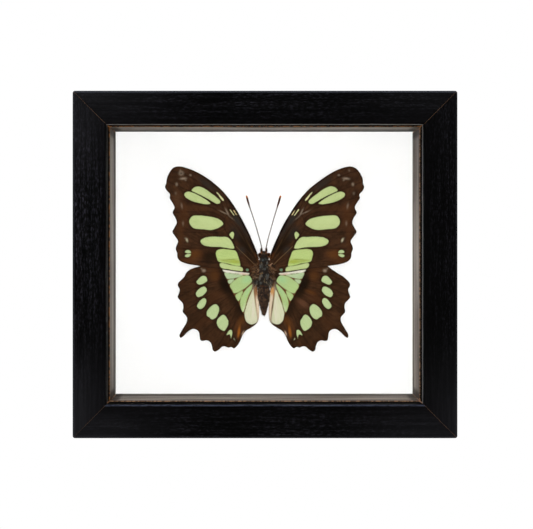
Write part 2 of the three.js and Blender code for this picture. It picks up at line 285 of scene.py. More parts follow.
SPACER_REACH = 0.8 * MM
SIDE_PLAY = 0.3 * MM
LAYER_GAP = 0.1 * MM
FACE_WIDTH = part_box("rail_bottom")[1].z
GLASS_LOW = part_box("glass_pane")[0]
SPACER_LOW, SPACER_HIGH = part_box("spacer_bottom")
SPACER_INNER = FACE_WIDTH + SPACER_REACH
REBATE_WALL = GLASS_LOW.z - SIDE_PLAY
LIP_BACK = GLASS_LOW.y - LAYER_GAP
MITRE_GAP = 0.01 * MM
LIP_CHAMFER = 0.7 * MM
FRONT_ROUND = 0.25 * MM
BACK_ROUND = 0.5 * MM
CORNER_ROUND = 1.1 * MM
SPACER_ARRIS = 0.15 * MM
NEAR = 1e-6

# How much further in each spacer reaches at the glass, and how much wider again it gets towards the board
SPACER_FIT = {
    "bottom": (0.0, 0.42 * MM),
    "top": (-0.26 * MM, 0.17 * MM),
    "left": (0.0, 0.17 * MM),
    "right": (0.18 * MM, 0.17 * MM),
}

# Each side: the turn about Y and the move that take a strip lying at the bottom to its place
SIDES = {
    "bottom": Matrix.Identity(4),
    "top": Matrix.Translation((0, 0, HEIGHT)) @ Matrix.Rotation(math.pi, 4, "Y"),
    "left": Matrix.Translation((-WIDTH / 2, 0, HEIGHT / 2)) @ Matrix.Rotation(math.pi / 2, 4, "Y"),
    "right": Matrix.Translation((WIDTH / 2, 0, HEIGHT / 2)) @ Matrix.Rotation(-math.pi / 2, 4, "Y"),
}


def block(low, high):
    """A cube opened for editing and stretched between two corners."""
    middle = (Vector(low) + Vector(high)) / 2
    size = Vector(high) - Vector(low)
    begin(bpy.ops.mesh.primitive_cube_add, size=1, location=middle)
    bpy.ops.transform.resize(value=size, center_override=middle)


def lengthwise(along):
    return abs(along.x) > 0.99


def cut_mitres(length):
    """Cuts both ends of a strip along X at 45 degrees, so that it gets shorter inwards."""
    for side in (-1, 1):
        end = Vector((side * (length / 2 - MITRE_GAP), 0, 0))
        bisect(end, (side, 0, 1), clear=True)


def round_corners(length, radius):
    """Takes the sharp outer corner off both ends of a strip in two flat cuts up to its mitre."""
    turns = [math.radians(turn) for turn in (-90, -67.5, -45)]
    arc = [Vector((math.cos(turn) - 1, 0, math.sin(turn) + 1)) * radius for turn in turns]
    for start, end in zip(arc, arc[1:]):
        run = end - start
        for side in (-1, 1):
            point = (side * (length / 2 + start.x), 0, start.z)
            bisect(point, (side * run.z, 0, -run.x), clear=True)


def rail_blank(length):
    """A rail along X with its outer edge at Z 0: the wall, then the lip drawn in over the glass."""
    block((-length / 2, FRONT, 0), (length / 2, BACK, REBATE_WALL))
    bisect((0, LIP_BACK, 0), (0, 1, 0))
    pick("FACE", lambda at, normal: normal.z > 0.9 and at.y < LIP_BACK)
    bpy.ops.mesh.extrude_region_move(TRANSFORM_OT_translate={"value": (0, 0, FACE_WIDTH - REBATE_WALL)})
    cut_mitres(length)
    pick("EDGE", lambda at, along: lengthwise(along) and at.y < FRONT + NEAR and at.z > FACE_WIDTH - NEAR)
    bpy.ops.mesh.bevel(offset=LIP_CHAMFER, segments=3, affect="EDGES")
    pick("EDGE", lambda at, along: lengthwise(along) and at.y < FRONT + NEAR and at.z < NEAR)
    bpy.ops.mesh.bevel(offset=FRONT_ROUND, segments=4, affect="EDGES")
    pick("EDGE", lambda at, along: lengthwise(along) and at.y > BACK - NEAR)
    bpy.ops.mesh.bevel(offset=BACK_ROUND, segments=2, affect="EDGES")
    round_corners(length, CORNER_ROUND)
    return close("rail_blank", smooth_angle=40)


def spacer_blank(length, inner, taper):
    """A spacer strip along X, a little wider at the board and with its sharp edges broken."""
    block((-length / 2, SPACER_LOW.y, SPACER_LOW.z), (length / 2, SPACER_HIGH.y, inner))
    pick("EDGE", lambda at, along: lengthwise(along) and at.z > inner - NEAR and at.y > 0)
    bpy.ops.transform.translate(value=(0, 0, taper))
    cut_mitres(length)
    pick("EDGE", lambda at, along: lengthwise(along) and at.z > inner - NEAR)
    bpy.ops.mesh.bevel(offset=SPACER_ARRIS, segments=2, affect="EDGES")
    return close("spacer_blank", smooth_angle=40)


def rail_axes(finish, side):
    """Along, depth and inward of the outer edge, for one side of the frame."""
    x, y, z = finish.axes()
    return {
        "bottom": (x, y, z),
        "top": (x, y, HEIGHT - z),
        "left": (z - HEIGHT / 2, y, x + WIDTH / 2),
        "right": (z - HEIGHT / 2, y, WIDTH / 2 - x),
    }[side]


def mitre_line(finish, along, inward, length, half_width):
    """1 on the bare wood that shows along the mitres."""
    return finish.step(abs(length / 2 - abs(along) - inward), half_width, half_width * 0.3)


# How strongly the grain catches the light, as painted highlights, at the rail's left or lower end and at its
# other end, then how strongly the painted highlights on the outer edge, on the line on the lip's wall and on
# the lip's front edge show, and how far that line lies before the lip's rear
CATCH = {
    "left": (0.4, 1.2, 0.35, 0.25, 0.0, 0.0),
    "top": (0.6, 0.35, 1.0, 1.0, 0.0, 1.7 * MM),
    "right": (0.15, 0.35, 0.15, 0.6, 0.0, 0.0),
    "bottom": (0.45, 0.4, 0.15, 0.0, 1.0, 0.0),
}
# How strong the painted grey sheen is towards the left or lower end of each rail and towards its other end
END_SHEEN = {"left": (1.0, 0.8), "top": (0.65, 0.35), "right": (0.7, 0.1), "bottom": (0.7, 0.65)}


def black_stain_and_sheen(side, length):
    """Black stained wood with open grain along the rail and bare brown hairlines at the mitres, with painted
    highlights on the grain, the outer edge and the lip, and a painted grey sheen towards the ends.
    """
    finish = Finish("black_stain_and_sheen_" + side)
    along, depth, inward = rail_axes(finish, side)
    low_catch, high_catch, edge_catch, rear_catch, lip_catch, ahead = CATCH[side]
    grain_catch = low_catch + finish.step(along, length / -2, length / 2) * (high_catch - low_catch)
    low_sheen, high_sheen = END_SHEEN[side]
    # Painted sheen: grey towards both ends of the rail
    end_sheen = finish.step(along, length * -0.15, length * -0.46) * low_sheen
    end_sheen = end_sheen + finish.step(along, length * 0.15, length * 0.46) * high_sheen
    seed = list(SIDES).index(side) * 0.37
    wander = finish.noise(finish.vector(along * 9, depth * 40, inward * 40), 1.0, 2.0) * 2.4
    lie = finish.vector(along * 45 + seed * 90, depth * 1050 + wander, inward * 1050 + wander)
    grain = finish.noise(lie, 1.0, 4.0, 0.62)
    flecks = finish.vector(along * 480 + seed, depth * 1900, inward * 1900 + wander)
    pores = finish.noise(flecks, 1.0, 3.0, 0.65)
    cloud = finish.noise(finish.vector(along * 30 + seed, depth * 60, inward * 60), 1.0, 2.0)
    ridges = finish.step(grain, 0.42, 0.62)
    dashes = finish.step(pores, 0.48, 0.64) * (0.25 + ridges * 0.75) * finish.step(cloud, 0.2, 0.6)
    black = finish.mix(cloud, paint(2, 2, 2), paint(6, 6, 6))
    # Painted highlights on the grain ridges and pores, stronger towards one end of each rail
    stain_and_highlights = finish.mix(ridges * grain_catch * 0.4, black, paint(20, 19, 20))
    stain_and_highlights = finish.mix(dashes * grain_catch * 0.75, stain_and_highlights, paint(50, 49, 57))
    stain_and_highlights = finish.mix(end_sheen * (0.7 + ridges * 0.3), stain_and_highlights, paint(24, 24, 26))
    stain_and_highlights = finish.mix(finish.step(inward, 0.0, FACE_WIDTH * 1.1) * 0.6, stain_and_highlights, paint(3, 3, 3))
    # Painted highlight along the outer front edge
    edge = finish.step(inward + (pores - 0.5) * (0.5 * MM), 1.0 * MM, 0.5 * MM)
    edge = edge * finish.step(inward, 0.1 * MM, 0.3 * MM)
    edge = edge * finish.step(depth, FRONT + 0.4 * MM, FRONT + 0.2 * MM)
    stain_and_highlights = finish.mix(edge * (0.75 * edge_catch), stain_and_highlights, paint(48, 51, 58))
    on_lip = finish.step(inward, FACE_WIDTH - 0.4 * MM, FACE_WIDTH - 0.3 * MM)
    # Painted highlight on the front edge of the lip's wall
    front_lip_highlight = on_lip * finish.step(depth, FRONT + 2.6 * MM, FRONT + 2.2 * MM)
    front_lip_highlight = front_lip_highlight * finish.step(pores, 0.3, 0.55)
    stain_and_highlights = finish.mix(front_lip_highlight * (0.85 * lip_catch), stain_and_highlights, paint(58, 63, 78))
    # Painted highlight: a light line on the lip's wall
    rear = LIP_BACK - ahead
    rear_lip_highlight = on_lip * finish.step(depth, rear - 1.7 * MM, rear - 1.4 * MM)
    rear_lip_highlight = rear_lip_highlight * finish.step(depth, rear + 0.1 * MM, rear - 0.1 * MM)
    stain_and_highlights = finish.mix(rear_lip_highlight * rear_catch * (0.6 + cloud * 0.6), stain_and_highlights, paint(172, 172, 172))
    line = mitre_line(finish, along, inward, length, 0.15 * MM)
    line = line * finish.step(cloud + pores * 0.7, 0.6, 1.05)
    height = grain * 0.7 + finish.step(pores, 0.5, 0.3) * -0.5
    finish.set(
        Base_Color=finish.mix(line * 0.75, stain_and_highlights, paint(88, 66, 50)),
        Roughness=0.72 - ridges * 0.12,
        Normal=finish.bump(height, 0.12 * MM, 0.75),
        Specular_IOR_Level=0.02,
    )
    return finish


# How much painted shade each spacer gets towards and near the board, and the light and dark of the wood
# bared on its arris
SPACER_LOOK = {
    "left": (0.75, paint(130, 84, 44), paint(30, 19, 11)),
    "top": (0.95, paint(120, 76, 38), paint(28, 18, 11)),
    "right": (0.35, paint(134, 101, 76), paint(66, 50, 38)),
    "bottom": (0.4, paint(154, 118, 92), paint(78, 60, 48)),
}


def spacer_stain_and_shade(side, length, inner):
    """Dark stained satin wood, sanded through to bare brown on its front arris and at the mitres, with
    painted shade towards the board, in the corners, near the front and on its front face.
    """
    finish = Finish("spacer_stain_and_shade_" + side)
    along, depth, inward = rail_axes(finish, side)
    board_shade, bared_light, bared_dark = SPACER_LOOK[side]
    seed = list(SIDES).index(side) * 0.53
    lie = finish.vector(along * 14 + seed * 40, depth * 420, inward * 420 + seed)
    streak = finish.noise(lie, 1.0, 3.0, 0.6)
    grain = finish.noise(finish.vector(along * 60 + seed * 70, depth * 1500, inward * 1500), 1.0, 4.0, 0.6)
    cloud = finish.noise(finish.vector(along * 300 + seed, depth * 600, inward * 600), 1.0, 3.0)
    bands = finish.step(streak, 0.36, 0.64)
    stain = finish.mix(bands, paint(90, 80, 70), paint(156, 145, 133))
    stain = finish.mix(finish.step(grain, 0.5, 0.75) * 0.35, stain, paint(178, 166, 152))
    # Painted shade towards the board
    shade_towards_board = finish.step(depth, SPACER_LOW.y, SPACER_HIGH.y)
    stain = finish.mix(shade_towards_board * (0.8 * board_shade), stain, paint(46, 39, 33))
    # Painted shade near the board, in the corners and just behind the lip
    shade_near_board = finish.step(depth + (cloud - 0.5) * MM, SPACER_HIGH.y - 6.5 * MM, SPACER_HIGH.y - 3 * MM)
    shade_in_corner = finish.step(length / 2 - abs(along) - inward, 4.6 * MM, 2.0 * MM)
    shade_near_front = finish.step(depth, SPACER_LOW.y + 2.6 * MM, SPACER_LOW.y + 1.2 * MM)
    # dull is the painted shade: the strongest of these three
    dull = (shade_near_board * board_shade).most(shade_in_corner * 0.75).most(shade_near_front * 0.55)
    stain = finish.mix(dull, stain, paint(30, 24, 20))
    # Painted shade: the front face, behind the lip, is near black
    front_face_shade = finish.step(depth, SPACER_LOW.y + 0.08 * MM, SPACER_LOW.y + 0.02 * MM)
    stain = finish.mix(front_face_shade, stain, paint(7, 6, 5))
    dash = finish.noise(finish.vector(along * 900 + seed, depth * 200, inward * 200), 1.0, 2.0)
    arris = finish.step(inward + (cloud - 0.5) * (0.3 * MM), inner - 0.36 * MM, inner - 0.2 * MM)
    arris = arris * finish.step(depth, SPACER_LOW.y + 0.9 * MM, SPACER_LOW.y + 0.3 * MM)
    line = mitre_line(finish, along, inward, length, 0.45 * MM) * finish.step(cloud, 0.2, 0.45)
    bare = arris.most(line * finish.step(depth, SPACER_LOW.y - MM, SPACER_LOW.y + 0.1 * MM))
    brown = finish.mix(finish.step(dash, 0.42, 0.6), bared_dark, bared_light)
    finish.set(
        Base_Color=finish.mix(bare, stain, brown),
        Roughness=(0.5 + (1 - bands) * 0.2 + dull * 0.2).most(bare * 0.75).most(front_face_shade * 0.9),
        Normal=finish.bump(grain, 0.05 * MM, 0.5),
        Specular_IOR_Level=0.12,
    )
    return finish


def wooden_frame():
    lengths = {"bottom": WIDTH, "top": WIDTH, "left": HEIGHT, "right": HEIGHT}
    for length, pair in ((WIDTH, ("bottom", "top")), (HEIGHT, ("left", "right"))):
        rail = rail_blank(length)
        for side in pair:
            piece = copy_of(rail, "frame_rail_" + side, SIDES[side])
            finish_piece(piece, black_stain_and_sheen(side, lengths[side]), "rail_wood", "rail_" + side)
            further, taper = SPACER_FIT[side]
            inner = SPACER_INNER + further
            spacer = spacer_blank(length, inner, taper)
            strip = copy_of(spacer, "frame_spacer_" + side, SIDES[side])
            finish_piece(strip, spacer_stain_and_shade(side, lengths[side], inner), "spacer_wood", "spacer_" + side)
            bpy.data.objects.remove(spacer)
        bpy.data.objects.remove(rail)


# Glass, boards and fittings

def sheet_piece(name, node, edge):
    """A flat sheet at its node's size, with its edges broken."""
    low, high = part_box(node)
    block(low, high)
    bpy.ops.mesh.select_all(action="SELECT")
    bpy.ops.mesh.bevel(offset=edge, segments=2, affect="EDGES")
    return close(name, smooth_angle=20)


def pane_glass():
    """Clear glass. Lamps and soft light pass straight through it, and the eye sees it bend and mirror."""
    finish = Finish("pane_glass")
    haze = finish.noise(finish.place(), 60.0, 2.0)
    finish.set(
        Base_Color=finish.mix(haze, (0.99, 0.995, 0.99, 1.0), (1.0, 1.0, 1.0, 1.0)),
        Roughness=0.0,
        Transmission_Weight=1.0,
        IOR=1.5,
        Specular_IOR_Level=0.3,
    )
    clear = finish.node("BsdfTransparent")
    path = finish.node("LightPath", out="Is Shadow Ray")
    soft = Value(finish, path.socket.node.outputs["Is Diffuse Ray"])
    mixed = finish.tree.nodes.new("ShaderNodeMixShader")
    finish.put(mixed.inputs[0], path.most(soft))
    finish.tree.links.new(finish.shader.outputs[0], mixed.inputs[1])
    finish.tree.links.new(clear.socket, mixed.inputs[2])
    finish.tree.links.new(mixed.outputs[0], finish.output.inputs["Surface"])
    return finish


def mount_paper():
    """White matt paper on board: a faint tooth and a hardly visible cloud in the white."""
    finish = Finish("mount_paper")
    place = finish.place()
    tooth = finish.noise(place, 5200.0, 3.0, 0.6)
    cloud = finish.noise(place, 45.0, 3.0)
    finish.set(
        Base_Color=finish.mix(cloud, paint(238, 238, 238), paint(243, 243, 242)),
        Roughness=0.88 + tooth * 0.1,
        Normal=finish.bump(tooth, 0.02 * MM, 0.4),
        Specular_IOR_Level=0.2,
    )
    return finish


def pressed_fibre():
    """Brown hardboard with short fibres and darker specks."""
    finish = Finish("pressed_fibre")
    place = finish.place()
    fibres = finish.noise(finish.stretched(place, (900.0, 900.0, 2600.0)), 1.0, 4.0, 0.65)
    crossed = finish.noise(finish.stretched(place, (2600.0, 900.0, 900.0)), 1.0, 4.0, 0.65)
    cloud = finish.noise(place, 38.0, 3.0)
    specks = finish.step(finish.noise(place, 900.0, 2.0), 0.66, 0.74)
    body = finish.ramp((fibres + crossed) * 0.5, (0.3, paint(84, 56, 34)), (0.5, paint(118, 82, 52)),
                       (0.72, paint(150, 112, 76)))
    clouded = finish.mix(cloud * 0.5, body, paint(98, 66, 42))
    finish.set(
        Base_Color=finish.mix(specks * 0.6, clouded, paint(58, 38, 24)),
        Roughness=0.72 + fibres * 0.15,
        Normal=finish.bump(fibres + crossed, 0.06 * MM, 0.6),
        Specular_IOR_Level=0.3,
    )
    return finish


def plated(name, light, dark):
    """Thin plated metal with rolling marks, small scratches and dull spots."""
    finish = Finish(name)
    place = finish.place()
    rolled = finish.noise(finish.stretched(place, (300.0, 300.0, 9000.0)), 1.0, 3.0, 0.6)
    dull = finish.step(finish.noise(place, 700.0, 3.0), 0.52, 0.68)
    finish.set(
        Base_Color=finish.mix(dull * 0.6, light, dark),
        Metallic=1.0,
        Roughness=0.24 + rolled * 0.14 + dull * 0.2,
        Normal=finish.bump(rolled, 0.01 * MM, 0.5),
    )
    return finish


def tab_blank():
    """A tab along +Z from its square end at Z 0: a stadium drawn out of a disc, thickened and eased."""
    low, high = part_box("tab_bottom_a")
    half, length, thick = (high.x - low.x) / 2, high.z - low.z, high.y - low.y
    begin(bpy.ops.mesh.primitive_circle_add, vertices=32, radius=half, fill_type="NGON",
          location=(0, 0, length - half), rotation=(math.pi / 2, 0, 0))
    bisect((0, 0, length - half), (0, 0, -1), clear=True)
    pick("EDGE", lambda at, along: at.z < length - half + NEAR)
    bpy.ops.mesh.extrude_region_move(TRANSFORM_OT_translate={"value": (0, 0, half - length)})
    bpy.ops.mesh.select_all(action="SELECT")
    bpy.ops.mesh.extrude_region_move(TRANSFORM_OT_translate={"value": (0, thick, 0)})
    bpy.ops.mesh.select_all(action="SELECT")
    bpy.ops.mesh.remove_doubles(threshold=1e-7)
    bpy.ops.mesh.normals_make_consistent(inside=False)
    pick("EDGE", lambda at, along: abs(along.y) < 0.5 and not 0.1 * thick < at.y < 0.9 * thick)
    bpy.ops.mesh.bevel(offset=0.08 * MM, segments=2, affect="EDGES")
    return close("tab_blank", smooth_angle=35)


def steel_tabs():
    blank = tab_blank()
    zinc = plated("zinc_plate", paint(196, 197, 196), paint(140, 141, 142))
    for side, matrix in SIDES.items():
        for letter in "ab":
            node = f"tab_{side}_{letter}"
            low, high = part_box(node)
            middle = matrix.inverted() @ ((low + high) / 2)
            root = min((matrix.inverted() @ corner).z for corner in (low, high))
            move = Matrix.Translation((middle.x, low.y, root))
            piece = copy_of(blank, f"steel_tab_{side}_{letter}", matrix @ move)
            finish_piece(piece, zinc, "zinc_steel", node)
    bpy.data.objects.remove(blank)


def eased_copy(node, name, offset, angle=30):
    """A copy of a CAD node with its flat faces joined and its edges eased."""
    piece = copy_of(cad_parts[node], name, Matrix.Identity(4))
    piece.parent = None
    alone(piece)
    bpy.ops.object.mode_set(mode="EDIT")
    bpy.ops.mesh.select_all(action="SELECT")
    bpy.ops.mesh.remove_doubles(threshold=1e-6)
    bpy.ops.mesh.dissolve_limited(angle_limit=math.radians(2))
    bpy.ops.object.mode_set(mode="OBJECT")
    modify(piece, "BEVEL", width=offset, segments=2, limit_method="ANGLE", angle_limit=math.radians(angle))
    bpy.ops.object.shade_smooth_by_angle(angle=math.radians(40))
    return piece


def hanging():
    brass = plated("brass_plate", paint(206, 168, 92), paint(140, 104, 52))
    finish_piece(eased_copy("hanger", "toothed_hanger", 0.12 * MM), brass, "hanger_brass", "hanger")
    for side in ("left", "right"):
        piece = eased_copy("rivet_" + side, "hanger_rivet_" + side, 0.1 * MM, angle=50)
        finish_piece(piece, brass, "hanger_brass", "rivet_" + side)


def boards():
    for name, node, edge, finish, slot in (
            ("front_glass", "glass_pane", 0.25 * MM, pane_glass, "pane_glass"),
            ("white_mount", "mount_board", 0.2 * MM, mount_paper, "mount_paper"),
            ("fibre_back", "back_board", 0.3 * MM, pressed_fibre, "back_hardboard")):
        finish_piece(sheet_piece(name, node, edge), finish(), slot, node)


# Butterfly outlines and markings: (across, up) in millimetres from the insect's middle, right-hand side

BODY_AXIS = -0.25 * MM
INSECT_DROP = 0.69 * MM
INSECT_MIDDLE = HEIGHT / 2 - INSECT_DROP
BOARD_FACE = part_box("mount_board")[0].y

FOREWING_COSTA = {
    "right": [
        (2.6, 4.3), (3.8, 7.85), (5.9, 12.55), (8.15, 17.3), (11.0, 22.1), (13.6, 26.1), (16.7, 30.1),
        (19.7, 33.2), (24.9, 37.2), (30.0, 40.4), (34.5, 42.2), (37.3, 42.6), (39.5, 41.8), (41.2, 39.9),
        (42.4, 37.4), (42.6, 35.2), (43.1, 33.8),
    ],
    "left": [
        (2.6, 4.3), (3.9, 7.8), (5.9, 12.55), (8.2, 17.3), (10.9, 22.2), (13.4, 26.2), (16.5, 30.3),
        (19.5, 33.4), (24.7, 37.5), (29.9, 40.5), (34.5, 42.2), (37.3, 42.65), (39.6, 42.1), (41.4, 39.9),
        (42.5, 37.4), (42.8, 35.2), (43.3, 33.8),
    ],
}
FOREWING_MARGIN = [
    (42.5, 32.2), (41.05, 30.6), (41.2, 28.9), (40.1, 27.1), (39.05, 24.9), (39.8, 22.7), (38.7, 20.6),
    (37.95, 18.4), (39.05, 16.0), (39.8, 14.4), (38.6, 12.4), (37.3, 10.3), (38.0, 8.3), (38.25, 7.0),
    (37.6, 5.2), (37.4, 3.2), (36.0, 1.6), (32.5, 0.4), (28.5, -0.25), (25.0, -1.0), (20.0, -1.5),
    (15.0, -2.3), (10.0, -3.0), (6.0, -3.3), (3.4, -2.4), (2.3, 0.5),
]
HINDWING_COSTA = {
    "right": [(8, -1), (16, 0.6), (23, 0.8), (27.3, -0.5), (29.5, -2.05), (32, -3.7), (34.3, -5.1)],
    "left": [(8, -1), (16, 0.6), (23, 0.6), (28, -0.7), (30, -1.25), (32.2, -2.2), (33.6, -3.5), (34.2, -5)],
}
HINDWING_MARGIN = [
    (37.0, -7.9), (37.05, -9.0), (36.3, -10.6), (36.7, -12.4), (37.2, -13.8), (36.4, -15.0), (35.0, -16.5),
    (34.7, -18.3), (35.0, -20.2), (34.1, -21.4), (33.1, -22.8), (33.3, -24.8), (34.8, -27.4), (36.4, -30.6),
    (35.9, -31.5), (34.8, -30.9), (32.9, -29.0), (30.9, -27.75), (29.3, -27.9), (28.0, -29.0),
    (27.6, -31.2), (27.3, -32.5), (26.4, -32.9), (24.6, -32.6), (23.1, -33.4), (22.3, -35.1), (22.0, -36.8),
    (21.1, -37.5), (19.4, -36.7), (17.9, -35.4), (16.6, -35.25), (15.2, -35.8), (14.0, -35.5),
    (12.8, -36.1), (11.4, -35.0), (10.1, -32.9), (9.0, -30.3), (7.5, -28.4), (5.2, -27.0), (3.3, -25.6),
    (2.2, -23.8), (1.85, -20.0), (1.95, -17.0), (2.3, -14.0), (2.7, -11.0), (2.7, -8.0), (2.65, -5.0),
    (4.5, -2.4),
]

LEAF_GREEN = paint(168, 181, 124)
FRESH_GREEN = paint(162, 179, 111)
OVAL_GREEN = paint(165, 181, 132)
MINT = paint(158, 176, 137)
CELL_GREEN = paint(153, 174, 116)
CREAM = paint(208, 202, 152)
APRICOT = paint(214, 188, 138)
IVORY = paint(190, 189, 160)
CHALK = paint(212, 207, 193)
BLUSH = paint(204, 186, 160)
JADE = paint(80, 108, 92)

# Each clean-edged marking: its colour and the points of its outline
FORE_MARKS = [
    (LEAF_GREEN, [
        (18.9, 27.3), (19.5, 28.4), (21, 29.7), (23, 31.1), (25, 32.6), (27, 33.7), (28.6, 34.15),
        (30.5, 33.7), (31.8, 32.2), (30, 31.2), (26, 29.3), (22.5, 27.3), (20.6, 26.35), (19.35, 26.6)]),
    (LEAF_GREEN, [
        (23.2, 26.6), (24.2, 27.6), (28, 30), (32, 31.7), (33.5, 31.8), (34.9, 30.9), (34.65, 29.6),
        (32, 27.8), (28, 26.6), (24.6, 26.2)]),
    (LEAF_GREEN, [
        (17.6, 17.7), (18.3, 19), (20.5, 20.3), (24, 21.1), (28, 21.55), (31.3, 21.3), (32.7, 19.4),
        (32.4, 17.5), (30.8, 15.9), (27, 15.4), (22.5, 15.1), (19.5, 16.2)]),
    (LEAF_GREEN, [
        (12.8, 7.2), (13.4, 9.2), (14.3, 10.7), (15.9, 12.1), (19, 12.3), (23, 12.35), (26, 11.9),
        (27.8, 10.7), (27.7, 9.7), (26.4, 8.5), (23.5, 7.9), (18.5, 7.65), (14, 7)]),
    (LEAF_GREEN, [
        (13.6, 14.6), (14.6, 14.1), (15.2, 13.1), (14.2, 11.6), (13.5, 10.9), (13.1, 12.2), (12.9, 13.7)]),
    (FRESH_GREEN, [
        (12.2, 6.2), (15, 6.8), (18.5, 7.1), (20.6, 6.4), (21.15, 5), (20.7, 3), (20.1, 1.55), (16, 0.6),
        (10.2, -0.4), (10.35, 1.3), (11.1, 3.7)]),
    (LEAF_GREEN, [
        (9.7, -0.8), (13.5, -0.1), (19, 0.97), (19.5, 0.2), (18.6, -1.3), (15.5, -1.95), (11, -2.65),
        (9.3, -2.8), (8.95, -2)]),
    (CREAM, [
        (17.4, 28.0), (18.9, 30.1), (20.5, 31.7), (21.0, 31.6), (20.2, 30.4), (18.6, 28.3), (17.8, 27.6)]),
    (APRICOT, [
        (11.5, 21.5), (12.2, 22.7), (13.1, 23.9), (13.5, 23.8), (12.8, 22.6), (12.0, 21.4)]),
    (CREAM, [
        (12.6, 21.3), (13.5, 22.7), (14.7, 24.3), (15.1, 24.1), (14.1, 22.5), (13.0, 21.2)]),
    (OVAL_GREEN, [
        (31.75, 5.2), (32.2, 6.2), (33.2, 6.7), (34.3, 6.3), (34.75, 5.5), (33.9, 5.1), (32.7, 5.05)]),
    (OVAL_GREEN, [
        (31.75, 4.8), (32.3, 3.8), (33.4, 3.3), (34.4, 3.5), (34.75, 4.2), (33.9, 4.75), (32.7, 4.9)]),
    (JADE, [
        (6.4, -2.2), (6.8, -1.5), (7.8, -1.5), (8.0, -2.3), (7.3, -2.9)]),
]
HIND_MARKS = [
    (OVAL_GREEN, [
        (25.2, -5), (26.2, -4.55), (27.2, -4.7), (29, -6.5), (29.5, -7.4), (28.25, -8.6), (25.8, -7.8),
        (24.6, -6.8)]),
    (OVAL_GREEN, [
        (25.3, -9.5), (26.3, -9.2), (28.6, -10.4), (29.8, -12.5), (28.85, -14), (26.5, -13.15),
        (24.8, -11.1)]),
    (OVAL_GREEN, [
        (25.3, -14.5), (26.3, -14.2), (28.3, -15.9), (29.2, -18), (27.75, -19.2), (25.9, -18),
        (24.9, -15.6)]),
    (OVAL_GREEN, [
        (20.3, -17.2), (21.25, -16.8), (23.35, -17.9), (24.9, -20), (24.9, -22), (23.9, -22.7),
        (22.6, -23.6), (20.8, -22.7), (19.6, -20.2), (19.5, -18.4)]),
    (OVAL_GREEN, [
        (16.8, -21.9), (17.8, -21.4), (19.1, -22.1), (20.2, -23.3), (20.7, -24.8), (20.3, -26.4),
        (19.4, -27.6), (17.3, -28.6), (16.3, -27.4), (15.6, -25.9), (15.5, -24.2), (16.1, -23)]),
    (OVAL_GREEN, [
        (14, -28.1), (15, -28), (16.6, -30.6), (15.1, -30.1), (14.8, -30.6), (14.5, -32), (13.8, -29.9)]),
    (IVORY, [
        (13.2, -31.3), (13.5, -32), (12.4, -33), (12.6, -32.3)]),
    (MINT, [
        (9, -4.3), (13, -3.75), (17.3, -3.3), (16.8, -5), (16.1, -6), (14.2, -6), (12.5, -5.7)]),
    (MINT, [
        (12.85, -6.2), (15.5, -6.3), (15.95, -7.1), (15.1, -8.2), (14.2, -7.8)]),
    (CELL_GREEN, [
        (6.5, -4.5), (8.5, -4.45), (10, -4.7), (12.5, -6.2), (15, -8.8), (13.9, -11), (13, -12.3),
        (8.75, -10.4), (5.5, -7.6), (5.1, -6.8)]),
    (CELL_GREEN, [
        (9.2, -11), (12.6, -13.1), (11.2, -15.75), (10.7, -15.2)]),
    (CELL_GREEN, [
        (5.0, -8.15), (8.55, -11.2), (10.6, -16.5), (9.2, -20.5), (7, -14), (5.2, -9.8)]),
    (IVORY, [
        (4.8, -10.3), (6.5, -13.8), (8.3, -19.3), (8.7, -21.2), (7.8, -24.5), (5.8, -25.8), (3.3, -24.9),
        (2.95, -24), (3.7, -18), (4.2, -14)]),
    (CHALK, [
        (18.1, -1.9), (17.6, -2.85), (12, -3.75), (9.3, -4.25), (6.6, -4.25), (6.1, -3.6), (12, -2.7)]),
]

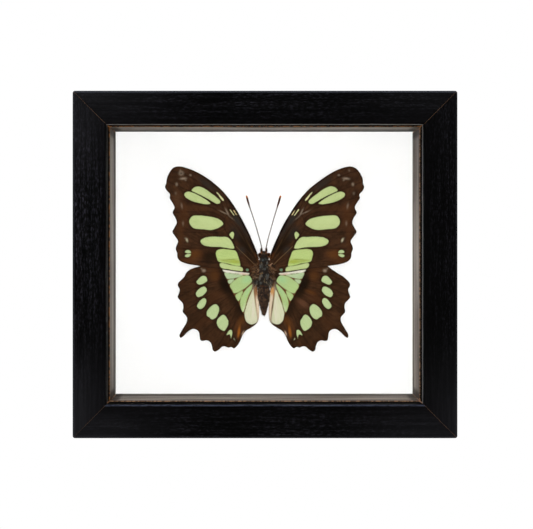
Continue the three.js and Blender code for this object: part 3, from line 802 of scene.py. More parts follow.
# Each soft marking: middle, half length, half width, turn in degrees, colour and strength, later ones on top
SMOKE = paint(140, 124, 106)
STEEL = paint(40, 37, 33)
RUST = paint(72, 42, 22)
SOOT = paint(22, 15, 9)
JET = paint(15, 11, 9)
UMBER = paint(98, 64, 38)
TAN = paint(92, 69, 46)
FOX = paint(84, 49, 22)
FORE_GROUND_TINTS = [
    (33, 2, 4.5, 1.0, 10, RUST, 0.7), (36.5, 12, 1.2, 6, 0, RUST, 0.5), (30, 4.6, 3.4, 2.2, 0, FOX, 0.7),
    (35.5, 21, 2.2, 6, 0, RUST, 0.5), (30, 24.5, 7, 1.3, 8, RUST, 0.3),
    (3.7, 4.2, 0.5, 1.4, -20, paint(100, 56, 24), 0.8), (8, 9, 9, 2.6, 56, SOOT, 0.85),
    (22, 13.8, 7, 0.6, 0, SOOT, 0.3), (12.5, 14, 3.5, 2.0, 60, STEEL, 0.5),
    (23.5, 4.4, 2.2, 2.8, 0, SOOT, 0.4), (9.8, 6.4, 1.8, 1.6, 45, STEEL, 0.7),
    (22.5, 22.4, 3.0, 0.9, 20, SOOT, 0.3), (12, 19.6, 3.2, 1.2, 58, STEEL, 0.85),
    (9.3, 16.2, 5.5, 0.8, 60, STEEL, 0.7), (4.3, 8, 5, 0.75, 66, JET, 1.0),
    (8.6, 17.2, 6, 0.7, 61, JET, 1.0), (14.2, 26.4, 6, 0.6, 55, JET, 0.9), (23, 35.5, 7, 0.5, 37, JET, 0.7),
    (25, 35.0, 5, 1.3, 36, STEEL, 0.7), (35.3, 37.4, 1.5, 0.45, -5, SMOKE, 0.8),
    (36.6, 40.9, 0.35, 0.5, 0, SMOKE, 0.4), (34.3, 36.7, 0.5, 0.3, 30, SMOKE, 0.5),
    (32.1, 38.9, 0.5, 0.4, 20, SMOKE, 0.65), (38.2, 34.9, 0.5, 0.75, 0, SMOKE, 0.6),
    (36, 25.6, 0.4, 1.3, -10, SMOKE, 0.4), (38.6, 31, 0.5, 0.7, 0, SMOKE, 0.3),
    (35.4, 18, 0.4, 1.1, 0, SMOKE, 0.35), (33.7, 10.8, 0.4, 0.9, -20, paint(176, 170, 140), 0.85),
    (34.2, 11.4, 0.7, 0.25, 40, SMOKE, 0.5), (16, 22.9, 1.8, 0.32, 63, SMOKE, 0.65),
    (17.6, 22.7, 2.1, 0.28, 24, SMOKE, 0.55), (14.2, 20.4, 1.6, 0.25, 40, SMOKE, 0.35),
    (5.2, -1.6, 1.6, 0.7, 15, paint(64, 44, 30), 0.7),
]
ROOT_STREAKS = [
    (6.2, 8.2, 4.5, 0.3, 62, paint(64, 46, 27), 0.7), (7.4, 7.6, 4.5, 0.22, 58, SOOT, 0.8),
    (5.0, 3.6, 3.0, 0.25, 50, paint(74, 52, 30), 0.6), (6.4, 1.2, 2.6, 0.2, 24, SOOT, 0.6),
    (6.6, -0.4, 2.8, 0.22, 12, paint(72, 46, 27), 0.7), (10.5, 13.6, 4.0, 0.25, 58, paint(60, 44, 26), 0.5),
]
# The third left forewing marking, a lighter brown on the outer margin, is a painted glint.
LEFT_FORE_TINTS = [
    (36.2, 39.7, 1.1, 1.0, 0, SMOKE, 0.6), (36.2, 39.7, 0.6, 0.5, 0, SOOT, 0.75),
    (38.2, 28, 1.6, 3.6, 0, paint(80, 53, 35), 0.6), (24, 3.0, 4, 3, 0, SOOT, 0.6),
    (5.5, 3.2, 3, 2, 45, SOOT, 0.5),
]
LEFT_HIND_TINTS = [
    (3.5, -10.8, 1.3, 3.0, 4, paint(120, 84, 56), 1.0),
    (4.3, -14.0, 0.3, 3.4, -6, paint(112, 78, 48), 0.85), (30, -22.5, 3.2, 4.0, 0, SOOT, 0.35),
]
# The first right hindwing marking, a lighter reddish brown, is a painted sheen.
RIGHT_HIND_TINTS = [
    (16.6, -16.6, 3.0, 1.3, -38, paint(92, 60, 42), 0.6), (20, -11.6, 2.4, 0.9, -20, FOX, 0.6),
    (3.55, -17.6, 0.36, 5.2, -8, paint(98, 82, 54), 0.95),
]
FORE_PATCH_TINTS = [
    (12.6, 1.5, 3.6, 1.0, 3, paint(139, 151, 54), 0.9), (17, 1.9, 2.5, 0.6, 8, paint(136, 148, 66), 0.8),
    (14.6, 2.5, 4.2, 0.18, -4, paint(94, 104, 32), 0.7),
    (13.2, 0.2, 2.6, 0.35, 8, paint(160, 186, 104), 0.8), (26, 19.6, 5, 1.4, 5, paint(176, 190, 132), 0.5),
    (22, 10.6, 4.5, 1.0, 0, paint(174, 188, 124), 0.5),
]
HIND_GROUND_TINTS = [
    (17.2, -8.8, 2.0, 4.4, -28, SOOT, 0.9), (22, -14, 4, 2.0, -38, RUST, 0.3),
    (10, -24.4, 2.8, 1.5, -60, FOX, 0.7), (27, -24, 5, 2, -45, RUST, 0.2), (22, -1.2, 5, 0.9, 0, RUST, 0.4),
    (21.5, -4.6, 2.2, 2.4, 0, FOX, 0.5), (23, -26, 5, 1.2, -45, SOOT, 0.35),
    (11, -28.9, 0.6, 2.4, 8, paint(142, 82, 30), 0.85), (12.4, -27, 0.4, 2.4, 14, RUST, 0.7),
    (9.2, -29.6, 0.35, 1.1, 22, paint(186, 158, 134), 0.8), (26.2, -2.4, 0.8, 0.7, 0, SMOKE, 0.75),
    (27.2, -1.6, 0.5, 0.4, 30, SMOKE, 0.4), (2.9, -17.5, 1.8, 8.4, -6, BLUSH, 1.0),
    (3.45, -18.2, 0.24, 5.6, -8, paint(124, 98, 66), 0.9),
    (4.0, -12.4, 0.3, 2.6, -3, paint(146, 102, 58), 0.85),
    (3.3, -11, 0.9, 1.9, 0, paint(184, 132, 72), 0.95), (3.6, -8.2, 1.0, 1.4, 10, paint(86, 56, 32), 0.9),
    (4.6, -5.2, 2.0, 2.0, 0, paint(40, 26, 17), 0.95),
]
HIND_PATCH_TINTS = [
    (7.4, -6.1, 2.6, 1.5, -30, paint(144, 180, 128), 0.85),
    (8.6, -18.5, 0.7, 2.5, 20, paint(178, 190, 150), 0.7),
    (4.8, -19, 0.6, 5.5, 2, paint(200, 190, 172), 0.6), (8.5, -3.9, 2.5, 0.4, 6, paint(200, 168, 152), 0.8),
    (7.0, -13.5, 0.4, 3.5, 18, paint(150, 168, 92), 0.6),
    (7.3, -11.2, 1.2, 2.4, 20, paint(144, 178, 126), 0.6),
]
# Basal cells of the hindwing: the lighter brown that the veins between them show
BASAL_CELLS = [
    (6.9, -4.6), (9.0, -4.0), (17.3, -3.1), (16.3, -6.2), (15.3, -8.9), (13.3, -12.6), (11.3, -16.0),
    (9.4, -20.6), (8.8, -21.4), (8.3, -19.8), (5.4, -11.2), (5.5, -7.4),
]

FORE_VEINS = [
    [(3, 2), (6, 9), (9.5, 15.5), (12.5, 20.5), (15.5, 24.8), (17.5, 29.8)],
    [(3, 1.5), (8, 11), (12.5, 18), (16, 22)],
    [(3.4, -0.4), (7.2, 3.4), (11.1, 7), (12.5, 8.5), (13.4, 10.5), (15.3, 12.5), (17.2, 15.8)],
    [(16, 22), (17.2, 19), (17.2, 15.8)],
    [(16.3, 22.5), (22.5, 27), (27, 29.6), (32, 31.8), (41.9, 36)],
    [(17.5, 25), (21, 30), (27, 35), (36, 39.6), (40.4, 40.6)],
    [(17.5, 22), (23, 25), (33, 27.5), (40.6, 29.3)],
    [(17, 20), (22, 22.6), (32, 23), (39.2, 22.7)],
    [(16.5, 15.5), (20, 14.2), (30, 14.2), (39.2, 14.4)],
    [(11.5, 6.4), (20, 7.4), (28, 7.3), (37.6, 7)],
    [(3.5, -1.5), (10, -0.6), (19.5, 1.1), (30, 1.8), (36.6, 2.9)],
]
PALE_VEIN = [(3.4, -0.4), (7.2, 3.4), (11.1, 7), (12.2, 8.2)]
HIND_VEINS = [
    [(6.8, -4.1), (17.5, -2.9), (28, -4), (36.4, -8.6)],
    [(10, -4.8), (12.7, -6), (16.3, -6.1), (27, -9), (36.5, -13.6)],
    [(14.3, -7.9), (15.5, -8.5), (25, -14), (34.4, -20)],
    [(13.5, -12.6), (24, -20), (30, -26), (35.5, -30.4)],
    [(11, -16), (20, -26), (26.8, -32)],
    [(9, -10.8), (10.9, -16.4), (15, -27), (20.8, -36.8)],
    [(5, -8), (8.5, -16), (9.2, -21), (10.3, -29), (12.8, -35.4)],
    [(4.6, -9), (3.9, -14), (3.3, -20), (2.9, -23.6)],
    [(6.5, -4.3), (10, -4.7), (14, -7.9), (13, -12.5), (8.8, -10.7), (5.2, -7.7)],
]


# Wings

def spline(points, step, closed=False):
    """A smooth curve through the points, in steps no longer than the given one."""
    points = np.array(points, float)
    if closed:
        ring = np.vstack((points[-1:], points, points[:2]))
    else:
        ring = np.vstack((2 * points[:1] - points[1:2], points, 2 * points[-1:] - points[-2:-1]))
    runs = []
    for a, b, c, d in zip(ring, ring[1:], ring[2:], ring[3:]):
        t1 = math.dist(a, b) ** 0.5
        t2 = t1 + math.dist(b, c) ** 0.5
        t3 = t2 + math.dist(c, d) ** 0.5
        count = max(1, math.ceil(math.dist(b, c) / step))
        t = np.linspace(t1, t2, count, endpoint=False)[:, None]
        ab = a + (b - a) * t / t1
        bc = b + (c - b) * (t - t1) / (t2 - t1)
        cd = c + (d - c) * (t - t2) / (t3 - t2)
        first = ab + (bc - ab) * t / t2
        second = bc + (cd - bc) * (t - t1) / (t3 - t1)
        runs.append(first + (second - first) * (t - t1) / (t2 - t1))
    if not closed:
        runs.append(points[-1:])
    return np.vstack(runs)


def distance(points, line):
    """How far each point lies from a line of short straight runs."""
    nearest = np.full(len(points), np.inf)
    for start, end in zip(line, line[1:]):
        run = end - start
        share = np.clip((points - start) @ run / max(run @ run, 1e-12), 0, 1)
        nearest = np.minimum(nearest, np.hypot(*(points - start - share[:, None] * run).T))
    return nearest


def depth_in(points, ring):
    """How deep each point lies inside a closed line: negative outside."""
    closed = np.vstack((ring, ring[:1]))
    inside = np.zeros(len(points), bool)
    for (x0, y0), (x1, y1) in zip(closed, closed[1:]):
        if y0 != y1:
            crosses = (points[:, 1] < y0) != (points[:, 1] < y1)
            inside ^= crosses & (points[:, 0] < x0 + (points[:, 1] - y0) * (x1 - x0) / (y1 - y0))
    return np.where(inside, 1, -1) * distance(points, closed)


def marks_at(points, marks):
    """Depth inside the nearest of the clean-edged markings, and its colour."""
    depth, colours = np.full(len(points), -9.0), np.zeros((len(points), 4))
    for colour, outline in marks:
        here = depth_in(points, spline(outline, 0.4, closed=True))
        colours[here > depth] = colour
        depth = np.maximum(depth, here)
    return depth, colours


def tints_at(points, tints):
    """Colour and strength of the soft markings laid over one another, in their order."""
    colours, strength = np.zeros((len(points), 4)), np.zeros(len(points))
    for x, y, length, width, turn, colour, most in tints:
        angle = math.radians(turn)
        along = (points[:, 0] - x) * math.cos(angle) + (points[:, 1] - y) * math.sin(angle)
        across = (points[:, 1] - y) * math.cos(angle) - (points[:, 0] - x) * math.sin(angle)
        here = most * np.exp(-((along / length) ** 2 + (across / width) ** 2) ** 1.5)
        total = here + strength * (1 - here)
        share = (here / np.maximum(total, 1e-6))[:, None]
        colours = colours * (1 - share) + np.array(colour) * share
        strength = total
    colours[:, 3] = strength
    return colours


def store(mesh, name, values):
    if values.ndim == 1:
        mesh.attributes.new(name, "FLOAT", "POINT").data.foreach_set("value", values.astype("f"))
    else:
        layer = mesh.attributes.new(name, "FLOAT_COLOR", "POINT")
        layer.data.foreach_set("color", values.astype("f").ravel())


WING_STEP = 0.42
VEIN_HALF = 0.2
LEAN_TOP = 35
WING_THICKNESS = 0.12 * MM
FOREWING_LIFT, HINDWING_LIFT = 4.9, 4.0


def wing_points(rim, veins, seed):
    """Points that fill a wing: three close rows along each vein and an even scatter between."""
    rows = []
    for vein in veins:
        way = np.gradient(vein, axis=0)
        out = np.column_stack((-way[:, 1], way[:, 0])) / np.hypot(*way.T)[:, None]
        rows += [vein, vein + out * VEIN_HALF, vein - out * VEIN_HALF]
    rows = np.vstack(rows)
    rows = rows[depth_in(rows, rim) > 0.3]
    kept = [rows[0]]
    for row in rows[1:]:
        if np.min(np.hypot(*(np.array(kept) - row).T)) > 0.12:
            kept.append(row)
    low, high = rim.min(0), rim.max(0)
    xs = np.arange(low[0], high[0], WING_STEP)
    ys = np.arange(low[1], high[1], WING_STEP * 0.87)
    grid = np.array([(x + (j % 2) * WING_STEP / 2, y) for j, y in enumerate(ys) for x in xs])
    grid += np.random.default_rng(seed).uniform(-0.06, 0.06, grid.shape)
    grid = grid[depth_in(grid, rim) > WING_STEP * 0.6]
    clear = np.min([distance(grid, vein) for vein in veins], axis=0) > VEIN_HALF + 0.2
    return np.vstack((rim, kept, grid[clear]))


def wing(name, side, outline, veins, marks, ground_tints, patch_tints, basal, lift, spread, seed):
    """A wing plate with raised veins, its markings kept as attributes for the scale colours."""
    stretch, shift, mark_shift, lean = spread
    rim = spline(outline, 0.4, closed=True)
    vein_lines = [spline(vein, 0.4) for vein in veins]
    points = wing_points(rim, vein_lines, seed)
    count = len(rim)
    edges = [(i, (i + 1) % count) for i in range(count)]
    made, _, faces, *_ = delaunay_2d_cdt([Vector(point) for point in points], edges, [], 1, 1e-6)
    points = np.array([tuple(point) for point in made])

    vein = np.min([distance(points, line) for line in vein_lines], axis=0)
    margin = distance(points, np.vstack((rim, rim[:1])))
    u, v = points.T
    ripple = 0.16 * np.sin(0.21 * u + 0.13 * v + seed) + 0.1 * np.sin(0.33 * v - 0.12 * u)
    ridge = 0.13 * np.exp(-(vein / 0.2) ** 2) - 0.16 * (1 - np.exp(-(vein / 1.3) ** 2))
    curl = -0.22 * np.exp(-(margin / 1.1) ** 2)
    height = lift + ripple * np.clip((u - 3) / 12, 0, 1) + ridge * np.clip(margin / 0.8, 0, 1) + curl
    if basal:
        height += 0.5 * np.clip((5.2 - u) / 2.6, 0, 1) ** 2 * (v < -4)

    hand = 1 if side == "right" else -1
    slack = lean * np.clip(LEAN_TOP - v, 0, None) * u
    across = hand * (stretch * u + shift + slack) * MM
    corners = np.column_stack((across, BOARD_FACE - height * MM, INSECT_MIDDLE + v * MM))
    faces = [face if hand > 0 else face[::-1] for face in faces]
    piece = mesh_piece(name, corners, faces)

    at = points + np.column_stack((mark_shift + slack, 0 * v))
    depth, colours = marks_at(at, marks)
    store(piece.data, "mark_depth", depth)
    store(piece.data, "mark_colour", colours)
    store(piece.data, "ground_tint", tints_at(at, ground_tints))
    store(piece.data, "patch_tint", tints_at(at, patch_tints))
    store(piece.data, "vein", vein)
    store(piece.data, "pale_vein", distance(at, spline(PALE_VEIN, 0.4)) if not basal else vein * 0 + 9)
    store(piece.data, "margin", margin)
    under = depth_in(at, spline(basal, 0.5, closed=True)) if basal else np.full(len(at), -9.0)
    store(piece.data, "under_depth", under)
    root = np.array((2.0, -1.0 if not basal else -5.0))
    store(piece.data, "ray", np.arctan2(*(points - root).T[::-1]))
    store(piece.data, "reach", np.hypot(*(points - root).T))

    alone(piece)
    modify(piece, "SOLIDIFY", thickness=WING_THICKNESS, offset=-1)
    bpy.ops.object.shade_smooth()
    return piece


# Dark, middle and light brown of the wings' ground
FORE_BROWNS = (paint(36, 23, 14), paint(53, 34, 21), paint(71, 45, 27))
HIND_BROWNS = (paint(36, 22, 13), paint(53, 34, 20), paint(70, 44, 27))


def wing_scales(name, seed, browns):
    """Scale-dusted wing: streaked brown ground, clean green markings with soft tints, darker veins."""
    finish = Finish(name)
    place = finish.place()
    ray, reach = finish.attribute("ray"), finish.attribute("reach")
    streak = finish.noise(finish.vector(ray * 26, reach * 0.16, seed), 1.0, 4.0, 0.62)
    fine = finish.noise(finish.vector(ray * 90, reach * 0.9, seed), 1.0, 3.0, 0.6)
    dust = finish.noise(place, 5200.0, 2.0, 0.6)
    cloud = finish.noise(place, 320.0, 3.0, 0.6)
    under = finish.step(finish.attribute("under_depth"), -0.1, 0.15)
    depth = finish.attribute("mark_depth") + under * 0.02 + (cloud - 0.5) * 0.35 + (dust - 0.5) * 0.3
    inside = finish.step(depth, -0.02, 0.22)

    brown = finish.ramp(streak * 0.5 + cloud * 0.3 + fine * 0.2, *zip((0.34, 0.5, 0.66), browns))
    beside_mark = finish.step(finish.attribute("mark_depth"), -1.5, -0.1)
    brown = finish.mix(beside_mark * 0.55, brown, paint(34, 21, 13))
    under_depth = finish.attribute("under_depth") + (fine - 0.5) * 1.2
    brown = finish.mix(finish.step(under_depth, -4.5, -0.8) * 0.6, brown, SOOT)
    brown = finish.mix(under * 0.85, brown, UMBER)
    vein = finish.step(finish.attribute("vein"), 0.3, 0.08) * (1 - under)
    brown = finish.mix(vein * 0.5, brown, paint(28, 18, 12))
    ground_tint = finish.attribute("ground_tint", "Color")
    strength = Value(finish, ground_tint.socket.node.outputs["Alpha"])
    brown = finish.mix(finish.step(finish.attribute("margin"), 0.5, 0.1) * 0.5, brown, paint(26, 17, 11))
    ground = finish.mix(strength * (0.6 + streak * 0.5 + fine * 0.3), brown, ground_tint)
    ground = finish.mix(finish.step(finish.attribute("pale_vein"), 0.2, 0.08) * 0.9, ground, TAN)

    patch = finish.attribute("mark_colour", "Color")
    patch_tint = finish.attribute("patch_tint", "Color")
    patch_strength = Value(finish, patch_tint.socket.node.outputs["Alpha"])
    green = finish.mix(patch_strength, patch, patch_tint)
    green = finish.mix(finish.step(fine, 0.5, 0.75) * 0.25, green, paint(190, 198, 148))
    green = finish.mix(finish.step(streak, 0.52, 0.3) * 0.25, green, paint(132, 152, 84))
    green = finish.mix(finish.step(depth, 0.5, 0.02) * 0.4, green, paint(104, 112, 62))
    colour = finish.mix(inside, ground, green)
    speckle = finish.step(dust, 0.62, 0.8)
    colour = finish.mix(speckle * 0.06, colour, paint(136, 118, 94))
    finish.set(
        Base_Color=colour,
        Roughness=0.66 + dust * 0.22,
        Normal=finish.bump(dust * 0.6 + fine * 0.6, 0.05 * MM, 0.6),
        Specular_IOR_Level=0.05,
    )
    return finish


def wings():
    for number, (side, fore_spread, hind_spread) in enumerate((
            ("left", (0.985, 0.3, 0.0, 0.00035), (1.0, 0.4, 0.35, 0.0)),
            ("right", (1.0, 0.0, 0.0, 0.0), (1.0, 0.0, 0.0, 0.0)))):
        outline = FOREWING_COSTA[side] + FOREWING_MARGIN
        tints = FORE_GROUND_TINTS + ROOT_STREAKS + (LEFT_FORE_TINTS if side == "left" else [])
        piece = wing("wing_fore_" + side, side, outline, FORE_VEINS, FORE_MARKS,
                     tints, FORE_PATCH_TINTS, None, FOREWING_LIFT, fore_spread, number)
        scales = wing_scales("scales_fore_" + side, number * 3.7, FORE_BROWNS)
        finish_piece(piece, scales, "wing_scales", "forewing_" + side)
        outline = HINDWING_COSTA[side] + HINDWING_MARGIN
        tints = HIND_GROUND_TINTS + (LEFT_HIND_TINTS if side == "left" else RIGHT_HIND_TINTS)
        piece = wing("wing_hind_" + side, side, outline, HIND_VEINS, HIND_MARKS,
                     tints, HIND_PATCH_TINTS, BASAL_CELLS, HINDWING_LIFT, hind_spread, number + 5)
        scales = wing_scales("scales_hind_" + side, number * 2.9 + 1, HIND_BROWNS)
        finish_piece(piece, scales, "wing_scales", "hindwing_" + side)


# Body

BODY_LIFT = 4.2
BODY_DEPTH = BOARD_FACE - BODY_LIFT * MM
THORAX = [
    (-9.4, 1.1), (-8.9, 1.75), (-7.4, 2.2), (-5.0, 2.3), (-2.4, 2.2), (0.0, 2.1), (1.4, 2.25), (2.6, 2.05),
    (3.3, 1.5), (3.8, 0.9),
]
ABDOMEN = [
    (-21.75, 0.15), (-21.2, 0.45), (-20.5, 0.78), (-18.3, 1.47), (-16.2, 2.05), (-15.0, 2.42),
    (-12.9, 2.65), (-10.8, 2.6), (-9.6, 2.35), (-8.8, 1.8),
]
ABDOMEN_GROOVES = [-21.4, -19.9, -18.2, -16.4, -14.6, -12.8, -11.0, -9.2]
HEAD = [(2.6, 0.9), (3.2, 1.45), (4.2, 1.7), (5.0, 1.25), (5.7, 0.75), (6.2, 0.35)]
THORAX_RATIO, ABDOMEN_RATIO, HEAD_RATIO = 1.2, 0.95, 1.1
EYES_MIDDLE = -0.1

# Lighter lobes in the fur of the thorax: middle, half width, half height and place on the fur's colour ramp
THORAX_LOBES = [
    (-1.2, 0.3, 0.6, 1.4, 0.78), (0.95, 0.6, 0.5, 1.3, 0.78), (0.1, -1.5, 0.8, 0.6, 0.74),
    (-1.2, -3.0, 0.4, 0.4, 1.0), (-1.6, -5.0, 0.9, 1.1, 0.8), (1.2, -4.8, 0.7, 1.2, 0.8),
    (-0.1, -6.3, 0.4, 0.4, 0.9), (0.95, -7.2, 0.5, 0.6, 0.8), (-1.4, -7.4, 0.4, 0.5, 0.76),
    (-0.2, 2.6, 0.7, 0.5, 0.66),
]
HEAD_LOBES = [(-1.15, 5.2, 0.25, 0.4, 0.92), (0.7, 5.2, 0.25, 0.4, 0.92), (-0.2, 4.4, 0.6, 1.0, 0.72)]
ABDOMEN_LOBES = [(-0.25, -12.2, 2.7, 3.2, 0.7), (-0.25, -9.6, 0.25, 1.0, 0.0)]


def half_width(profile, up):
    ups, halves = zip(*profile)
    return float(np.interp(up, ups, halves))


def turned(name, rings, ratio, sides=28):
    """A round body along Z drawn out of a disc ring by ring, then deepened by the ratio."""
    first_up, first_half = rings[0]
    axis = Vector((BODY_AXIS, BODY_DEPTH, INSECT_MIDDLE))

    def at(up):
        return axis + Vector((0, 0, up * MM))

    begin(bpy.ops.mesh.primitive_circle_add, vertices=sides, radius=first_half * MM, fill_type="NGON",
          location=at(first_up))
    for (up0, half0), (up1, half1) in zip(rings, rings[1:]):
        bpy.ops.mesh.extrude_region_move(TRANSFORM_OT_translate={"value": (0, 0, (up1 - up0) * MM)})
        grow = half1 / half0
        bpy.ops.transform.resize(value=(grow, grow, 1), center_override=at(up1))
    bpy.ops.mesh.select_all(action="SELECT")
    bpy.ops.transform.resize(value=(1, ratio, 1), center_override=axis)
    piece = close(name)
    modify(piece, "SUBSURF", levels=1, render_levels=1)
    bpy.ops.object.shade_smooth()
    return piece


def segmented(profile, bounds):
    """Rings for a body with a groove at each of the bounds."""
    rings = [profile[0]]
    for start, end in zip(bounds, bounds[1:]):
        for share, swell in ((0.06, 0.94), (0.3, 1.0), (0.7, 1.03), (0.92, 1.0), (0.99, 0.95)):
            up = start + (end - start) * share
            rings.append((up, half_width(profile, up) * swell))
    return rings + [profile[-1]]


def chitin(name, dark, light, gloss=0.45):
    """Dry insect shell: mottled, with fine pits."""
    finish = Finish(name)
    place = finish.place()
    mottle = finish.noise(place, 900.0, 3.0, 0.6)
    pits = finish.noise(place, 7000.0, 2.0)
    finish.set(
        Base_Color=finish.mix(finish.step(mottle, 0.35, 0.7), dark, light),
        Roughness=gloss + pits * 0.2,
        Normal=finish.bump(pits + mottle, 0.03 * MM, 0.6),
        Specular_IOR_Level=0.35,
    )
    return finish


def hair_finish(name, *stops):
    """Hairs in a few colours, from one hair to the next, paler towards the tip."""
    finish = Finish(name)
    strand, tip = finish.attribute("strand"), finish.attribute("tip")
    rough = finish.noise(finish.place(), 9000.0, 2.0)
    colour = finish.ramp(strand + (rough - 0.5) * 0.15, *stops)
    finish.set(
        Base_Color=finish.mix(tip * 0.1, colour, paint(150, 124, 98)),
        Roughness=0.5 + rough * 0.2,
        Specular_IOR_Level=0.15,
    )
    return finish


# A hair's three rings, as the share of its length and of its thickness, and the turns of a ring's corners
HAIR_TAPER = ((0, 1), (0.45, 0.85), (0.8, 0.5))
HAIR_CORNERS = (0, 2.094, 4.189)


def hairs(name, roots, ways, lengths, strands, thick, droop, seed):
    """Tapered three-sided hairs in one mesh, each bent a little along the droop."""
    rng = np.random.default_rng(seed)
    corners, faces, tips = [], [], []
    for root, way, length in zip(roots, ways, lengths):
        way = way / np.linalg.norm(way)
        aside = np.cross(way, rng.normal(size=3))
        aside /= np.linalg.norm(aside)
        other = np.cross(way, aside)
        bend = rng.normal(0, 0.18, 3) + droop
        first = len(corners)
        for share, width in HAIR_TAPER:
            middle = root + (way * share + bend * share ** 2) * length
            for turn in HAIR_CORNERS:
                corners.append(middle + (aside * math.cos(turn) + other * math.sin(turn)) * thick * width)
            tips += [share] * 3
        corners.append(root + (way + bend) * length)
        tips.append(1)
        for ring in (0, 3):
            for i in range(3):
                j = (i + 1) % 3
                faces.append([first + ring + corner for corner in (i, j, 3 + j, 3 + i)])
        faces += [(first + 6 + i, first + 6 + (i + 1) % 3, first + 9) for i in range(3)]
    piece = mesh_piece(name, np.array(corners) * MM, faces)
    store(piece.data, "strand", np.repeat(strands, 10))
    store(piece.data, "tip", np.array(tips, float))
    alone(piece)
    bpy.ops.object.shade_smooth()
    return piece


def to_frame(across, lift, up):
    """Millimetres of the insect to millimetres of the frame."""
    return np.array((across, BOARD_FACE / MM - lift, INSECT_MIDDLE / MM + up))


CLUMP = 9
LOCK_SPREAD = 0.07


def coat(profile, ratio, clumps, low, high, rng, flow, stand, lobes):
    """Roots, ways and shades for small clumps of hair over the upper side of a turned body."""
    roots, ways, shades = [], [], []
    for _ in range(clumps):
        up, turn, shade = rng.uniform(low, high), rng.uniform(-0.25, math.pi + 0.25), rng.random()
        lean = rng.normal(0, 0.3, 3)
        if lobes:
            across = BODY_AXIS / MM + half_width(profile, up) * math.cos(turn)
            shade *= 0.55
            for u, v, wide, tall, place in lobes:
                if ((across - u) / wide) ** 2 + ((up - v) / tall) ** 2 < 1:
                    shade = place + 0.3 * (shade - 0.27)
        for _ in range(CLUMP):
            here, aim = up + rng.normal(0, 0.16), turn + rng.normal(0, 0.08)
            half = half_width(profile, here) * 0.97
            slope = (half_width(profile, here + 0.1) - half_width(profile, here - 0.1)) / 0.2
            out = np.array((math.cos(aim), -math.sin(aim) / ratio, -slope))
            at = to_frame(BODY_AXIS / MM, BODY_LIFT, here)
            roots.append(at + (half * math.cos(aim), -half * ratio * math.sin(aim), 0))
            ways.append(out * stand + np.array(flow) + lean + rng.normal(0, 0.12, 3))
            shades.append(np.clip(shade + rng.normal(0, 0.07), 0, 1))
    return roots, ways, np.array(shades)


def tube(name, path, radii, sides=10):
    """A bent round limb with its own thickness at every point."""
    curve = bpy.data.curves.new(name, "CURVE")
    curve.dimensions = "3D"
    curve.bevel_depth = MM
    curve.bevel_resolution = (sides - 4) // 2
    curve.use_fill_caps = True
    line = curve.splines.new("POLY")
    line.points.add(len(path) - 1)
    for point, place, radius in zip(line.points, path, radii):
        point.co = (*(np.array(place) * MM), 1)
        point.radius = radius
    piece = bpy.data.objects.new(name, curve)
    bpy.context.collection.objects.link(piece)
    alone(piece)
    bpy.ops.object.convert(target="MESH")
    bpy.ops.object.mode_set(mode="EDIT")
    return close(name, smooth_angle=60)


ANTENNA_RIGHT = [(0.5, 5.2, 6.0), (1.25, 5.3, 10), (3.8, 5.2, 19.2), (5.85, 5.0, 26), (7.0, 4.9, 30)]
ANTENNA_LEFT = [(0.8, 5.2, 6.0), (1.75, 5.3, 10), (4.6, 5.2, 19.8), (6.65, 5.0, 26), (7.75, 4.9, 30)]
# Half thickness up the feelers, and along the legs and palps
FEELER = [(6, 0.2), (7, 0.17), (24, 0.18), (25.6, 0.26), (27, 0.38), (29.4, 0.4), (29.8, 0.34), (30, 0.16)]
LEG = [(0, 0.2), (0.25, 0.24), (0.42, 0.16), (0.46, 0.14), (0.7, 0.15), (0.75, 0.1), (1, 0.07)]
PALP_SWELL = [(0, 0.36), (0.4, 0.5), (0.8, 0.46), (0.95, 0.32), (1, 0.1)]
LEG_MID = [(1.3, 1.15, -1.6), (2.4, 0.9, -2.6), (3.6, 0.7, -3.2), (2.9, 0.55, -5.4), (2.2, 0.45, -7.2)]
LEG_HIND = [(1.2, 1.15, -4.8), (2.3, 0.9, -6.2), (3.4, 0.7, -8.6), (2.6, 0.55, -11.4), (1.9, 0.45, -13.2)]
PALP = [(0.8, 4.4, 4.9), (1.0, 4.9, 5.8), (1.04, 4.9, 6.7), (1.0, 4.6, 7.5)]


def limb_path(points, hand, step):
    """A smooth path of a limb in the frame's millimetres, for the left or right hand of the body."""
    return [to_frame(hand * across, lift, up) for across, lift, up in spline(points, step)]


def antennae():
    shell = Finish("antenna_shell")
    _, _, z = shell.axes()
    up = (z - INSECT_MIDDLE) * (1 / MM)
    rings = shell.noise(shell.vector(0.0, 0.0, up * 4), 1.0, 1.0)
    club = shell.step(up, 24.6, 26.2)
    stalk = shell.mix(rings, paint(84, 70, 62), paint(132, 116, 106))
    dark = shell.mix(shell.step(up, 28.6, 29.7), paint(58, 26, 9), paint(196, 112, 40))
    shell.set(Base_Color=shell.mix(club, stalk, dark), Roughness=0.5 + rings * 0.1, Specular_IOR_Level=0.12)
    for side, hand, points in (("left", -1, ANTENNA_LEFT), ("right", 1, ANTENNA_RIGHT)):
        path = limb_path(points, hand, 0.2)
        ups = [place[2] - INSECT_MIDDLE / MM for place in path]
        radii = [np.interp(up, *zip(*FEELER)) * (1.06 if i % 2 else 0.94) for i, up in enumerate(ups)]
        finish_piece(tube("feeler_" + side, path, radii), shell, "antenna_shell", "antenna_" + side)


def legs():
    shell = chitin("leg_shell", paint(48, 34, 26), paint(86, 62, 44))
    for pair, points in (("mid", LEG_MID), ("hind", LEG_HIND)):
        for side, hand in (("left", -1), ("right", 1)):
            path = limb_path(points, hand, 0.3)
            radii = np.interp(np.linspace(0, 1, len(path)), *zip(*LEG))
            piece = tube(f"folded_leg_{pair}_{side}", path, radii)
            finish_piece(piece, shell, "antenna_shell", f"leg_{pair}_{side}")


